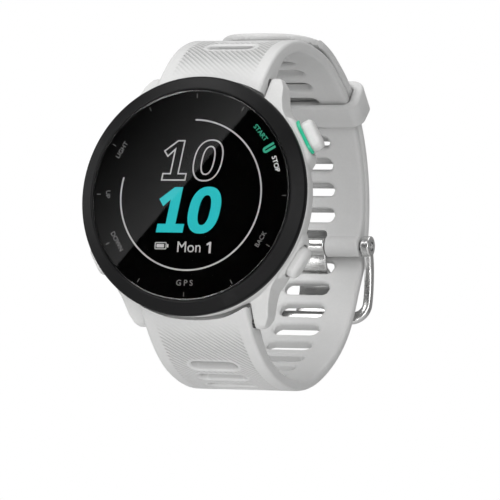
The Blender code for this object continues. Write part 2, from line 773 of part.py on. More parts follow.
def build_lower_strap():
    band = band_half("strap_lower", LOWER_OUTER, LOWER_THICKNESS, -143, TAIL_TIP_ANGLE)
    angles = slot_angles(LOWER_OUTER, LOWER_THICKNESS, TONGUE_SLOT_ANGLE, LOWER_SLOTS, LOWER_SLOT_PITCH)
    combine(band, slot_cutter("lower_slots", LOWER_OUTER, LOWER_THICKNESS, angles))
    combine(band, tail_tip_cutter())
    combine(band, case_clearance())
    bar_hole_and_lever_way(band, -1)
    finish(band, "light silicone")


def sector(radii, angles, steps=6):
    """A piece of a ring round the loop's centre, as a side view."""
    span = [angles[0] + (angles[1] - angles[0]) * i / steps for i in range(steps + 1)]
    return [loop_point(a, radii[1]) for a in span] + [loop_point(a, radii[0]) for a in reversed(span)]


def build_keeper():
    outline = sector(KEEPER_RADII, KEEPER_ANGLES)
    keeper = prism("keeper_loop", [outline], -KEEPER_HALF_WIDTH, KEEPER_HALF_WIDTH, SIDE_VIEW)
    beyond = (KEEPER_ANGLES[0] - 3, KEEPER_ANGLES[1] + 3)
    half = BAND_WIDTH / 2 + GAP
    combine(keeper, prism("keeper_window", [sector(KEEPER_WINDOW_RADII, beyond)], -half, half, SIDE_VIEW))
    finish(keeper, "light silicone")


def build_spring_bar(name, side_y):
    y, z = side_y * LUG_BAR_Y, LUG_BAR_Z
    bar = rod(f"spring_bar_{name}", SPRING_BAR_RADIUS, (-9.8, y, z), (9.8, y, z), 16)
    combine(bar, rod("fixed_pin", SPRING_PIN_RADIUS, (-11.6, y, z), (-9, y, z), 12), "UNION")
    combine(bar, rod("bar_bore", SPRING_PIN_RADIUS, (-0.6, y, z), (10.5, y, z), 12))
    outline = rounded_box((-0.6, RELEASE_LEVER_X - 2.0), (0.6, RELEASE_LEVER_X + 0.7), 0.4)
    window = prism("bar_window", [outline], 0, 2)
    window.data.transform(lever_turn(y, z))
    combine(bar, window)
    finish(bar, "plain steel")
    pin = rod(f"quick_release_pin_{name}", SPRING_PIN_RADIUS - FIT, (1.2, y, z), (11.6, y, z), 10)
    foot = Vector((RELEASE_LEVER_X, y, z))
    tip = foot + lever_direction(y, z) * RELEASE_LEVER_LENGTH
    combine(pin, rod("lever", 0.4, foot, tip, 12), "UNION")
    finish(pin, "plain steel")


# ---------------------------------------------------------------- buckle


def frame_path():
    """The buckle frame's side view, from the bar to the crossbar: it bows away from the wrist."""
    bar = loop_point(BAR_ANGLE, BAR_LOOP_RADIUS)
    return smooth_path([bar, (-3.5, -47.7), (-7.0, -48.3), (-10.0, -48.3), (-12.5, -47.8), (-14.8, -47.1)])


def build_buckle():
    y, z = loop_point(BAR_ANGLE, BAR_LOOP_RADIUS)
    frame = prism("buckle_frame", [band_outline(frame_path(), FRAME_THICKNESS)], -13, 13, SIDE_VIEW)
    combine(frame, rod("frame_ends", 1.9, (-13, y, z), (13, y, z), 20), "UNION")
    plan = rounded_box((-FRAME_HALF_WIDTH, -14.6), (FRAME_HALF_WIDTH, 6), 3.4)
    window = rounded_box((-FRAME_INNER_X, -12.3), (FRAME_INNER_X, 9), 2.2)
    combine(frame, prism("frame_plan", [plan], -52, -42), "INTERSECT")
    combine(frame, prism("frame_window", [window], -53, -41))
    combine(frame, rod("frame_bar_hole", BAR_RADIUS + FIT, (-14, y, z), (14, y, z), 16))
    move_origin(frame, (0, y, z))
    finish(frame, "polished steel")
    bar = rod("buckle_bar", BAR_RADIUS, (-11.7, y, z), (11.7, y, z), 16)
    finish(bar, "plain steel")


def build_tongue():
    y, z = loop_point(BAR_ANGLE, BAR_LOOP_RADIUS)
    path = smooth_path(
        [
            (y - 0.8, z - 0.4), (-2.8, -46.9), (-4.2, -47.6), (-4.75, -49.0), (-5.6, -50.2), (-8.0, -50.7),
            (-11.0, -50.0), (-12.8, -49.3), (-14.9, -48.7),
        ]
    )
    half = TONGUE_HALF_WIDTH
    tongue = prism("buckle_tongue", [band_outline(path, TONGUE_THICKNESS)], -half, half, SIDE_VIEW)
    combine(tongue, rod("barrel", BARREL_RADIUS, (-half, y, z), (half, y, z), 20), "UNION")
    combine(tongue, rod("barrel_hole", BAR_RADIUS + 0.2, (-5, y, z), (5, y, z), 16))
    move_origin(tongue, (0, y, z))
    finish(tongue, "polished steel")


clear_scene()
parts = new_collection("gps_running_watch")
cutters = new_collection("cutters")
dial_up = bpy.data.objects.new("dial_up", None)
dial_up.rotation_euler = (math.radians(90), 0, 0)
parts.objects.link(dial_up)

build_bezel_and_lens()
build_mid_case()
build_back()
build_display_stack()
build_electronics()
build_vibration_motor()
build_buttons()
build_upper_strap()
build_lower_strap()
build_keeper()
build_spring_bar("upper", 1)
build_spring_bar("lower", -1)
build_buckle()
build_tongue()
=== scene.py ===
import json
import math

import bmesh
import bpy
import numpy as np
from mathutils import Matrix, Vector

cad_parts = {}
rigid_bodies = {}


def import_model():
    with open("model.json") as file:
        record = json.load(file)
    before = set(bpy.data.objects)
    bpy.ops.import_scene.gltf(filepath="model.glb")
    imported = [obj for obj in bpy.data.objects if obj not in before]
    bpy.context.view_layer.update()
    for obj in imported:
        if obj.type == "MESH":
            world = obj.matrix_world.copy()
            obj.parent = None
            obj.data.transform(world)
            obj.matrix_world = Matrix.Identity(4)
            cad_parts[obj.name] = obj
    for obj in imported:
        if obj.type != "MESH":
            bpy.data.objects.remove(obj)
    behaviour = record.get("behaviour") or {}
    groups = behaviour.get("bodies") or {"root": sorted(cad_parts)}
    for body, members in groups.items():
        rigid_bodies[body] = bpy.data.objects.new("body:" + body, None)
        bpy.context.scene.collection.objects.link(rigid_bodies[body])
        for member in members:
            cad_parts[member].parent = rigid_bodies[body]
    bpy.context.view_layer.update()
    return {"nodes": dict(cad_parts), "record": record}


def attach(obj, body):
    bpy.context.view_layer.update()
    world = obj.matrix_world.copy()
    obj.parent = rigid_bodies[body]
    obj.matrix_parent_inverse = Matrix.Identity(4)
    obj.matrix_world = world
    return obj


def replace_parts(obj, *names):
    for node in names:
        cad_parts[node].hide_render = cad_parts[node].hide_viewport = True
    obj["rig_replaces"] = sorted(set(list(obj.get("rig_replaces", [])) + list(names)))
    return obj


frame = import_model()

nodes = frame["nodes"]
mm = 0.001

# The watch is drawn in millimetres with its dial up: x to 3 o'clock, y to 12 o'clock, z up from the wrist.
# toFrame turns that into the frame's metres, where the dial faces -Y.


def toFrame(points):
    p = np.asarray(points, float) * mm
    return np.stack((p[..., 0], -p[..., 2], p[..., 1]), axis=-1)


def meshPiece(name, points, faces):
    mesh = bpy.data.meshes.new(name)
    mesh.from_pydata(toFrame(points).tolist(), [], faces)
    shape = bmesh.new()
    shape.from_mesh(mesh)
    bmesh.ops.remove_doubles(shape, verts=shape.verts, dist=1e-7)
    bmesh.ops.recalc_face_normals(shape, faces=shape.faces)
    shape.to_mesh(mesh)
    shape.free()
    piece = bpy.data.objects.new(name, mesh)
    bpy.context.scene.collection.objects.link(piece)
    return piece


def smooth(piece, angle=35):
    piece.data.shade_smooth()
    piece.data.set_sharp_from_angle(angle=math.radians(angle))
    return piece


def bakeModifiers(piece):
    graph = bpy.context.evaluated_depsgraph_get()
    piece.data = bpy.data.meshes.new_from_object(piece.evaluated_get(graph))
    piece.modifiers.clear()
    return piece


def combine(piece, others, operation="DIFFERENCE"):
    for other in others:
        step = piece.modifiers.new(operation, "BOOLEAN")
        step.operation = operation
        step.solver = "MANIFOLD"
        step.object = other
        bakeModifiers(piece)
        bpy.data.objects.remove(other)
    return piece


# rings is rows of closed sections, joined row to row, and closed into a loop or capped at both ends
def loftPiece(name, rings, loop=False, skip=()):
    rings = np.asarray(rings, float)
    rows, columns = rings.shape[:2]
    index = np.arange(rows * columns).reshape(rows, columns)
    quads = np.stack(
        (index, np.roll(index, -1, 1), np.roll(np.roll(index, -1, 1), -1, 0), np.roll(index, -1, 0)), -1
    )
    keep = [column for column in range(columns) if column not in skip]
    faces = quads[:, keep] if loop else quads[:-1, keep]
    faces = faces.reshape(-1, 4).tolist()
    if not loop:
        faces += [index[0].tolist(), index[-1][::-1].tolist()]
    return meshPiece(name, rings.reshape(-1, 3), faces)


def arcPoints(radius, start, end, steps, centre=(0, 0)):
    turn = np.radians(np.linspace(start, end, steps + 1))
    return np.stack((centre[0] + radius * np.cos(turn), centre[1] + radius * np.sin(turn)), -1)


def stadium(width, height, steps=16):
    reach = (width - height) / 2
    right = arcPoints(height / 2, -90, 90, steps, (reach, 0))
    left = arcPoints(height / 2, 90, 270, steps, (-reach, 0))
    return np.concatenate((right, left))


# Every corner of a closed outline becomes a short curve. A corner on the axis of a turned shape stays.
def softCorners(outline, radius, steps=4, keepAxis=False):
    points = [Vector(p) for p in outline]
    soft = []
    for i, corner in enumerate(points):
        before, after = points[i - 1], points[(i + 1) % len(points)]
        reach = min(radius, 0.45 * (before - corner).length, 0.45 * (after - corner).length)
        if keepAxis and corner.x < 1e-6:
            soft.append(tuple(corner))
            continue
        start = corner + (before - corner).normalized() * reach
        end = corner + (after - corner).normalized() * reach
        soft.append(tuple(start + (start - corner) * 0.1))
        for k in range(steps + 1):
            t = k / steps
            soft.append(tuple(start * (1 - t) ** 2 + corner * 2 * t * (1 - t) + end * t * t))
        soft.append(tuple(end + (end - corner) * 0.1))
    return soft


# A closed (radius, z) profile turned round z, or round another axis with place
def turnedPiece(name, profile, soften=0.1, turns=144, place=None):
    outline = np.array(softCorners(profile, soften, keepAxis=True) if soften else profile, float)
    turn = np.linspace(0, 2 * math.pi, turns, endpoint=False)
    radius, height = outline[:, 0], outline[:, 1]
    rings = np.stack(
        (np.outer(np.cos(turn), radius), np.outer(np.sin(turn), radius), np.tile(height, (turns, 1))), -1
    )
    onAxis = [i for i in range(len(outline)) if radius[i] < 1e-6 and radius[(i + 1) % len(outline)] < 1e-6]
    if place:
        rings = movedBy(place, rings)
    return smooth(loftPiece(name, rings, loop=True, skip=onAxis))


def movedBy(place, points):
    turn = np.array(place.to_3x3())
    return points @ turn.T + np.array(place.translation)


sideView = Matrix(((0, 0, 1, 0), (1, 0, 0, 0), (0, 1, 0, 0), (0, 0, 0, 1)))


# A flat outline pushed from low to high, with its long edges rounded
def prismPiece(name, outline, low, high, place=None, edge=0.0, segments=3):
    flat = np.asarray(outline, float)
    rings = np.stack([np.column_stack((flat, np.full(len(flat), z))) for z in (low, high)])
    if place:
        rings = movedBy(place, rings)
    piece = loftPiece(name, rings)
    if edge:
        shape = bmesh.new()
        shape.from_mesh(piece.data)
        sharp = [e for e in shape.edges if len(e.link_faces) == 2 and e.calc_face_angle(0) > 0.6]
        bmesh.ops.bevel(shape, geom=sharp, offset=edge * mm, segments=segments, profile=0.5, affect="EDGES")
        shape.to_mesh(piece.data)
        shape.free()
    return smooth(piece)


def rodPiece(name, radius, start, end, edge=0.15, turns=48):
    run = Vector(end) - Vector(start)
    place = Matrix.Translation(start) @ run.to_track_quat("Z", "Y").to_matrix().to_4x4()
    profile = [(0, run.length), (radius, run.length), (radius, 0), (0, 0)]
    return turnedPiece(name, profile, edge, turns, place)


# A smooth curve through a table of values, level between two equal ones
def alongKnots(knots, at):
    xs = np.array(sorted(knots), float)
    ys = np.array([knots[x] for x in sorted(knots)], float)
    slopes = np.diff(ys) / np.diff(xs)
    same = slopes[:-1] * slopes[1:] > 0
    middle = np.where(same, 2 * slopes[:-1] * slopes[1:] / np.where(same, slopes[:-1] + slopes[1:], 1), 0)
    tangents = np.concatenate(([0], middle, [0]))
    at = np.clip(at, xs[0], xs[-1])
    i = np.clip(np.searchsorted(xs, at, side="right") - 1, 0, len(xs) - 2)
    span = xs[i + 1] - xs[i]
    t = (at - xs[i]) / span
    rise = ys[i] * (1 + 2 * t) * (1 - t) ** 2 + ys[i + 1] * t * t * (3 - 2 * t)
    return rise + tangents[i] * span * t * (1 - t) ** 2 + tangents[i + 1] * span * t * t * (t - 1)


def easeBetween(low, high, value):
    t = np.clip((value - low) / (high - low), 0, 1)
    return t * t * (3 - 2 * t)


# Node groups that several finishes share


def newGroup(name, inputs, outputs):
    group = bpy.data.node_groups.new(name, "ShaderNodeTree")
    for label, value in inputs:
        socket = group.interface.new_socket(label, in_out="INPUT", socket_type="NodeSocketFloat")
        socket.default_value = value
    for label in outputs:
        group.interface.new_socket(label, in_out="OUTPUT", socket_type="NodeSocketFloat")
    return group, group.nodes.new("NodeGroupInput"), group.nodes.new("NodeGroupOutput")


def addMath(tree, operation, a, b=None):
    node = tree.nodes.new("ShaderNodeMath")
    node.operation = operation
    for socket, value in zip(node.inputs, (a, b)):
        if value is None:
            continue
        if isinstance(value, (int, float)):
            socket.default_value = value
        else:
            tree.links.new(value, socket)
    return node.outputs[0]


def addNoise(tree, coords, scale, detail=2.0, roughness=0.5):
    node = tree.nodes.new("ShaderNodeTexNoise")
    tree.links.new(coords, node.inputs["Vector"])
    if isinstance(scale, (int, float)):
        node.inputs["Scale"].default_value = scale
    else:
        tree.links.new(scale, node.inputs["Scale"])
    node.inputs["Detail"].default_value = detail
    node.inputs["Roughness"].default_value = roughness
    return node.outputs["Fac"]


def addRange(tree, value, low, high, toLow=0.0, toHigh=1.0):
    node = tree.nodes.new("ShaderNodeMapRange")
    node.inputs["From Min"].default_value = low
    node.inputs["From Max"].default_value = high
    node.inputs["To Min"].default_value = toLow
    node.inputs["To Max"].default_value = toHigh
    tree.links.new(value, node.inputs["Value"])
    return node.outputs["Result"]


# the fine texture that a spark-eroded mould leaves
def makeGrainGroup():
    group, inside, outside = newGroup("mouldGrain", [("Scale", 5000.0)], ["Height", "Speckle"])
    coords = group.nodes.new("ShaderNodeTexCoord").outputs["Object"]
    fine = addNoise(group, coords, inside.outputs["Scale"], 3.0, 0.6)
    coarse = addNoise(group, coords, addMath(group, "MULTIPLY", inside.outputs["Scale"], 0.31), 2.0)
    fine = addMath(group, "MULTIPLY", fine, 0.7)
    height = addMath(group, "ADD", fine, addMath(group, "MULTIPLY", coarse, 0.3))
    group.links.new(height, outside.inputs["Height"])
    group.links.new(addRange(group, coarse, 0.3, 0.7), outside.inputs["Speckle"])
    return group


# faint cloudy marks from hands and cleaning cloths
def makeHandlingGroup():
    group, inside, outside = newGroup("handlingMarks", [("Size", 120.0)], ["Mask"])
    coords = group.nodes.new("ShaderNodeTexCoord").outputs["Object"]
    cloud = addNoise(group, coords, inside.outputs["Size"], 4.0, 0.62)
    group.links.new(addRange(group, cloud, 0.38, 0.66), outside.inputs["Mask"])
    return group


# rubbed edges, and painted shade in hollows and creases, from how sharply the surface turns
def makeEdgeGroup():
    group, inside, outside = newGroup("edgeWearAndCreaseShade", [("Breakup", 900.0)], ["Edge", "Crevice"])
    coords = group.nodes.new("ShaderNodeTexCoord").outputs["Object"]
    point = group.nodes.new("ShaderNodeNewGeometry").outputs["Pointiness"]
    patchy = addRange(group, addNoise(group, coords, inside.outputs["Breakup"], 3.0), 0.35, 0.65, 0.35, 1.0)
    edge = addMath(group, "MULTIPLY", addRange(group, point, 0.52, 0.6), patchy)
    group.links.new(edge, outside.inputs["Edge"])
    group.links.new(addRange(group, point, 0.485, 0.42), outside.inputs["Crevice"])
    return group


# sparse specks of lint and dust
def makeDustGroup():
    group, inside, outside = newGroup("fineDust", [("Spacing", 900.0), ("Share", 0.06)], ["Mask"])
    coords = group.nodes.new("ShaderNodeTexCoord").outputs["Object"]
    cells = group.nodes.new("ShaderNodeTexVoronoi")
    group.links.new(coords, cells.inputs["Vector"])
    group.links.new(inside.outputs["Spacing"], cells.inputs["Scale"])
    spot = addMath(group, "LESS_THAN", cells.outputs["Distance"], inside.outputs["Share"])
    patchy = addRange(group, addNoise(group, coords, 160.0, 2.0), 0.5, 0.62)
    group.links.new(addMath(group, "MULTIPLY", spot, patchy), outside.inputs["Mask"])
    return group


# polishing and turning lines: noise drawn out along one direction
def makePolishGroup():
    inputs = [("Fineness", 9000.0), ("Stretch", 0.04)]
    group, inside, outside = newGroup("polishLines", inputs, ["Height", "Streak"])
    coords = group.nodes.new("ShaderNodeTexCoord").outputs["Object"]
    stretch = group.nodes.new("ShaderNodeCombineXYZ")
    group.links.new(inside.outputs["Stretch"], stretch.inputs["X"])
    stretch.inputs["Y"].default_value = 1.0
    stretch.inputs["Z"].default_value = 1.0
    along = group.nodes.new("ShaderNodeVectorMath")
    along.operation = "MULTIPLY"
    group.links.new(coords, along.inputs[0])
    group.links.new(stretch.outputs[0], along.inputs[1])
    lines = addNoise(group, along.outputs[0], inside.outputs["Fineness"], 3.0, 0.55)
    group.links.new(lines, outside.inputs["Height"])
    group.links.new(addRange(group, lines, 0.4, 0.62), outside.inputs["Streak"])
    return group


# the square dots of the display
def makePixelGroup():
    group, inside, outside = newGroup("displayDots", [("Pitch", 7600.0)], ["Mask"])
    coords = group.nodes.new("ShaderNodeTexCoord").outputs["Object"]
    parts = group.nodes.new("ShaderNodeSeparateXYZ")
    group.links.new(coords, parts.inputs[0])
    waves = []
    for axis in ("X", "Z"):
        place = addMath(group, "MULTIPLY", parts.outputs[axis], inside.outputs["Pitch"])
        nearLine = addMath(group, "PINGPONG", place, 0.5)
        waves.append(addRange(group, nearLine, 0.02, 0.12))
    group.links.new(addMath(group, "MULTIPLY", waves[0], waves[1]), outside.inputs["Mask"])
    return group


grainGroup = makeGrainGroup()
handlingGroup = makeHandlingGroup()
edgeGroup = makeEdgeGroup()
dustGroup = makeDustGroup()
polishGroup = makePolishGroup()
pixelGroup = makePixelGroup()


def placeGroup(tree, group, **values):
    node = tree.nodes.new("ShaderNodeGroup")
    node.node_tree = group
    for label, value in values.items():
        node.inputs[label].default_value = value
    return node


def mixColour(tree, factor, base, top):
    node = tree.nodes.new("ShaderNodeMix")
    node.data_type = "RGBA"
    tree.links.new(factor, node.inputs["Factor"])
    for label, value in (("A", base), ("B", top)):
        socket = next(s for s in node.inputs if s.name == label and s.type == "RGBA")
        if isinstance(value, tuple):
            socket.default_value = (*value, 1.0)
        else:
            tree.links.new(value, socket)
    return next(s for s in node.outputs if s.type == "RGBA")


def shade(colour, factor):
    return tuple(min(1.0, channel * factor) for channel in colour)


def newMaterial(name):
    material = bpy.data.materials.new(name)
    material.use_nodes = True
    tree = material.node_tree
    return material, tree, tree.nodes["Principled BSDF"]


def linkBump(tree, shader, height, strength, depth):
    bump = tree.nodes.new("ShaderNodeBump")
    bump.inputs["Strength"].default_value = strength
    bump.inputs["Distance"].default_value = depth
    tree.links.new(height, bump.inputs["Height"])
    tree.links.new(bump.outputs["Normal"], shader.inputs["Normal"])


# Moulded plastics, silicone and rubber
def mouldedFinish(name, look):
    material, tree, shader = newMaterial(name)
    grain = placeGroup(tree, grainGroup, Scale=look["grain"])
    marks = placeGroup(tree, handlingGroup, Size=look.get("marks", 120.0))
    edges = placeGroup(tree, edgeGroup)
    dust = placeGroup(tree, dustGroup, Spacing=look.get("dust", 700.0), Share=look.get("dustShare", 0.07))
    colour = look["colour"]
    tone = mixColour(tree, grain.outputs["Speckle"], shade(colour, 0.975), shade(colour, 1.02))
    tone = mixColour(tree, addMath(tree, "MULTIPLY", marks.outputs["Mask"], 0.5), tone, shade(colour, 0.95))
    tone = mixColour(tree, addMath(tree, "MULTIPLY", edges.outputs["Edge"], 0.6), tone, look["worn"])
    # hollows and creases take the darker colour of the finish: painted shade
    tone = mixColour(tree, addMath(tree, "MULTIPLY", edges.outputs["Crevice"], 0.7), tone, look["creaseShade"])
    tone = mixColour(tree, addMath(tree, "MULTIPLY", dust.outputs["Mask"], 0.5), tone, look["dustColour"])
    # the groove attribute darkens the groove bottoms: painted shade
    if "groove" in look:
        cut = tree.nodes.new("ShaderNodeAttribute")
        cut.attribute_name = "groove"
        tone = mixColour(tree, cut.outputs["Fac"], tone, look["groove"])
    tree.links.new(tone, shader.inputs["Base Color"])
    low, high = look["roughness"]
    rough = addRange(tree, marks.outputs["Mask"], 0, 1, low, high)
    rough = addMath(tree, "ADD", rough, addMath(tree, "MULTIPLY", grain.outputs["Speckle"], 0.05))
    tree.links.new(rough, shader.inputs["Roughness"])
    shader.inputs["Specular IOR Level"].default_value = look.get("specular", 0.5)
    shader.inputs["Sheen Weight"].default_value = look.get("sheen", 0.0)
    linkBump(tree, shader, grain.outputs["Height"], look.get("bump", 0.3), look.get("depth", 0.00003))
    return material


# Steel, brass, gold plate and foil
def metalFinish(name, look):
    material, tree, shader = newMaterial(name)
    lines = placeGroup(tree, polishGroup, Fineness=look["fineness"], Stretch=look.get("stretch", 0.04))
    marks = placeGroup(tree, handlingGroup, Size=look.get("marks", 200.0))
    edges = placeGroup(tree, edgeGroup)
    colour = look["colour"]
    tone = mixColour(tree, lines.outputs["Streak"], shade(colour, 0.93), colour)
    tone = mixColour(tree, addMath(tree, "MULTIPLY", marks.outputs["Mask"], 0.4), tone, shade(colour, 0.88))
    # a dark copy of the metal in hollows and creases: painted shade
    crevice = addMath(tree, "MULTIPLY", edges.outputs["Crevice"], 0.6)
    tone = mixColour(tree, crevice, tone, shade(colour, 0.35))
    tree.links.new(tone, shader.inputs["Base Color"])
    shader.inputs["Metallic"].default_value = 1.0
    low, high = look["roughness"]
    rough = addRange(tree, marks.outputs["Mask"], 0, 1, low, high)
    streak = addMath(tree, "MULTIPLY", lines.outputs["Streak"], look.get("streak", 0.05))
    rough = addMath(tree, "ADD", rough, streak)
    tree.links.new(rough, shader.inputs["Roughness"])
    linkBump(tree, shader, lines.outputs["Height"], look.get("bump", 0.12), look.get("depth", 0.00001))
    return material


# Printed ink and display areas behind the glass. Their glow is painted light, standing in for lamp light that
# the glass keeps from the dial
def inkFinish(name, colour, dots, paintedGlow=0.0):
    material, tree, shader = newMaterial(name)
    marks = placeGroup(tree, handlingGroup, Size=600.0)
    if dots:
        grid = placeGroup(tree, pixelGroup)
        tone = mixColour(tree, grid.outputs["Mask"], shade(colour, 0.9), colour)
    else:
        grid = placeGroup(tree, grainGroup, Scale=9000.0)
        tone = mixColour(tree, grid.outputs["Speckle"], shade(colour, 0.93), colour)
    tree.links.new(tone, shader.inputs["Base Color"])
    tree.links.new(addRange(tree, marks.outputs["Mask"], 0, 1, 0.5, 0.62), shader.inputs["Roughness"])
    # the emission is painted light, not a lamp
    if paintedGlow:
        tree.links.new(tone, shader.inputs["Emission Color"])
        shader.inputs["Emission Strength"].default_value = paintedGlow
    return material


def glassFinish(name, look):
    material, tree, shader = newMaterial(name)
    marks = placeGroup(tree, handlingGroup, Size=90.0)
    dust = placeGroup(tree, dustGroup, Spacing=1500.0, Share=0.05)
    tone = mixColour(tree, marks.outputs["Mask"], look["colour"], shade(look["colour"], 0.985))
    tree.links.new(tone, shader.inputs["Base Color"])
    rough = addRange(tree, marks.outputs["Mask"], 0, 1, look["roughness"][0], look["roughness"][1])
    rough = addMath(tree, "ADD", rough, addMath(tree, "MULTIPLY", dust.outputs["Mask"], 0.02))
    tree.links.new(rough, shader.inputs["Roughness"])
    shader.inputs["Transmission Weight"].default_value = look["transmission"]
    shader.inputs["IOR"].default_value = 1.5
    shader.inputs["Coat Weight"].default_value = look.get("coat", 0.0)
    shader.inputs["Coat Roughness"].default_value = 0.01
    return material


# each finish's crease colour is a darker copy of its own colour, painted as shade in hollows and creases
finishes = {
    "light_polymer": mouldedFinish("lightPolymer", {
        "colour": (0.56, 0.56, 0.555), "worn": (0.66, 0.66, 0.655), "creaseShade": (0.36, 0.36, 0.355),
        "dustColour": (0.42, 0.41, 0.4), "roughness": (0.4, 0.5), "grain": 5200.0, "bump": 0.22,
    }),
    # the silicone's groove colour is painted shade for the groove bottoms
    "light_silicone": mouldedFinish("lightSilicone", {
        "colour": (0.55, 0.55, 0.547), "worn": (0.62, 0.62, 0.617), "creaseShade": (0.3, 0.3, 0.3),
        "dustColour": (0.4, 0.39, 0.37), "roughness": (0.5, 0.62), "grain": 7000.0, "sheen": 0.08,
        "bump": 0.25, "dustShare": 0.06, "groove": (0.3, 0.3, 0.298),
    }),
    "black_bezel": mouldedFinish("blackBezel", {
        "colour": (0.004, 0.004, 0.0043), "worn": (0.009, 0.009, 0.0094), "creaseShade": (0.002, 0.002, 0.002),
        "dustColour": (0.012, 0.012, 0.012), "roughness": (0.36, 0.44), "grain": 6200.0, "bump": 0.15,
        "dustShare": 0.05, "specular": 0.13,
    }),
    "green_accent": mouldedFinish("greenInlay", {
        "colour": (0.016, 0.41, 0.23), "worn": (0.05, 0.5, 0.32), "creaseShade": (0.008, 0.2, 0.11),
        "dustColour": (0.1, 0.4, 0.28), "roughness": (0.3, 0.4), "grain": 8000.0, "bump": 0.1,
    }),
    "dark_polymer": mouldedFinish("darkPolymer", {
        "colour": (0.03, 0.03, 0.031), "worn": (0.07, 0.07, 0.07), "creaseShade": (0.01, 0.01, 0.01),
        "dustColour": (0.1, 0.1, 0.095), "roughness": (0.45, 0.58), "grain": 5000.0,
    }),
    "white_polymer": mouldedFinish("whitePolymer", {
        "colour": (0.75, 0.75, 0.74), "worn": (0.85, 0.85, 0.84), "creaseShade": (0.5, 0.5, 0.48),
        "dustColour": (0.5, 0.48, 0.45), "roughness": (0.38, 0.48), "grain": 6000.0,
    }),
    "seal_rubber": mouldedFinish("sealRubber", {
        "colour": (0.02, 0.02, 0.02), "worn": (0.05, 0.05, 0.05), "creaseShade": (0.01, 0.01, 0.01),
        "dustColour": (0.12, 0.12, 0.11), "roughness": (0.6, 0.75), "grain": 4000.0,
    }),
    "circuit_board": mouldedFinish("circuitBoard", {
        "colour": (0.01, 0.09, 0.04), "worn": (0.03, 0.2, 0.09), "creaseShade": (0.004, 0.03, 0.015),
        "dustColour": (0.1, 0.14, 0.11), "roughness": (0.3, 0.42), "grain": 2400.0,
    }),
    "buckle_steel": metalFinish("buckleSteel", {
        "colour": (0.7, 0.7, 0.695), "roughness": (0.2, 0.27), "fineness": 6000.0, "bump": 0.1,
    }),
    "plain_steel": metalFinish("plainSteel", {
        "colour": (0.46, 0.46, 0.465), "roughness": (0.28, 0.38), "fineness": 9000.0, "stretch": 1.0,
    }),
    "gold_contact": metalFinish("goldContact", {
        "colour": (0.83, 0.6, 0.26), "roughness": (0.16, 0.26), "fineness": 12000.0, "stretch": 1.0,
    }),
    "brass_strip": metalFinish("brassStrip", {
        "colour": (0.6, 0.45, 0.2), "roughness": (0.28, 0.4), "fineness": 7000.0,
    }),
    "foil": metalFinish("foil", {
        "colour": (0.52, 0.52, 0.54), "roughness": (0.3, 0.42), "fineness": 2000.0, "stretch": 1.0,
        "bump": 0.3,
    }),
    "cover_glass": glassFinish("coverGlass", {
        "colour": (1.0, 1.0, 1.0), "transmission": 1.0, "roughness": (0.0, 0.012),
    }),
    "sensor_glass": glassFinish("sensorGlass", {
        "colour": (0.012, 0.012, 0.014), "transmission": 0.0, "roughness": (0.05, 0.1), "coat": 0.6,
    }),
    "display": mouldedFinish("displayBlack", {
        "colour": (0.0008, 0.0008, 0.0009), "worn": (0.001, 0.001, 0.001), "creaseShade": (0.0006, 0.0006, 0.0006),
        "dustColour": (0.001, 0.001, 0.001), "roughness": (0.3, 0.34), "grain": 9000.0, "bump": 0.01,
        "specular": 0.02,
    }),
}


def dress(piece, slot, body, *replaced):
    piece.data.materials.clear()
    piece.data.materials.append(finishes[slot])
    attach(piece, body)
    if replaced:
        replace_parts(piece, *replaced)
    return piece


print("finishes ready")

# The band follows a loop round loopMiddle, which is (y, z). Band angles are 0 at the buckle side
# and grow toward 12 o'clock.
loopMiddle = (2.9, -20.9)
slotSize = {"width": 8.8, "height": 2.6, "rim": 0.5}
bandCut = {"halfWidth": 10.0, "edge": 0.65, "grooveHalf": 7.8, "step": 0.2, "groove": 0.34, "skin": 0.03}
caseWay = [
    (0, 13), (21.3, 13), (21.3, 5.8), (20.1, 3.6), (18.9, 2.4), (18.9, -3), (0, -3),
]
lugs = {"barY": 20.9, "barZ": 2.7, "barRadius": 0.85, "pinRadius": 0.5, "leverX": 5.8}
upperBand = {
    "outer": {-7: 27.6, 66: 27.6, 82: 28.3, 92: 28.7, 101: 29.4, 110: 30.4, 119: 31.3, 132: 32.2, 152: 32.5},
    "thickness": {-7: 3.4, -3: 3.1, 4: 2.2, 8: 2.0, 66: 2.0, 100: 2.1, 124: 2.5, 142: 4.3, 152: 4.4},
    "slotThickness": {-7: 2.0, 66: 2.0, 100: 2.1, 124: 2.5, 142: 4.3, 152: 4.4},
    "ends": (151, -7), "firstSlot": 16.4, "slots": range(-1, 12), "pitch": 4.75, "slant": 1,
}
lowerBand = {
    "outer": {
        -145: 35.7, -120: 35.2, -107: 34.3, -82: 32.5, -62: 31.2, -42: 30.5,
        -23: 29.2, -8: 29.7, 68: 29.7, 80: 30.15, 92: 30.7, 104: 31.4,
    },
    "thickness": {
        -145: 4.2, -134: 4.0, -118: 2.6, -100: 2.1, -62: 1.9, -8: 1.8, 68: 1.8, 80: 1.6, 104: 1.4,
    },
    "ends": (-143, 104), "firstSlot": -14.3, "slots": range(-12, 11), "pitch": 4.65, "slant": -1,
    "tipRadius": 10.0,
}
lowerBand["slotThickness"] = lowerBand["thickness"]


def loopPoint(angle, radius):
    turn = np.radians(angle)
    return loopMiddle[0] + radius * np.sin(turn), loopMiddle[1] - radius * np.cos(turn)


def bandMiddle(band, angle):
    return alongKnots(band["outer"], angle) - alongKnots(band["slotThickness"], angle) / 2


def stepAlong(band, start, distance):
    angle = start
    step = math.copysign(0.5, distance)
    travelled = 0.0
    while travelled < abs(distance):
        travelled += abs(math.radians(step)) * float(bandMiddle(band, angle))
        angle += step
    return angle


def slotAngles(band):
    return [stepAlong(band, band["firstSlot"], number * band["pitch"]) for number in band["slots"]]


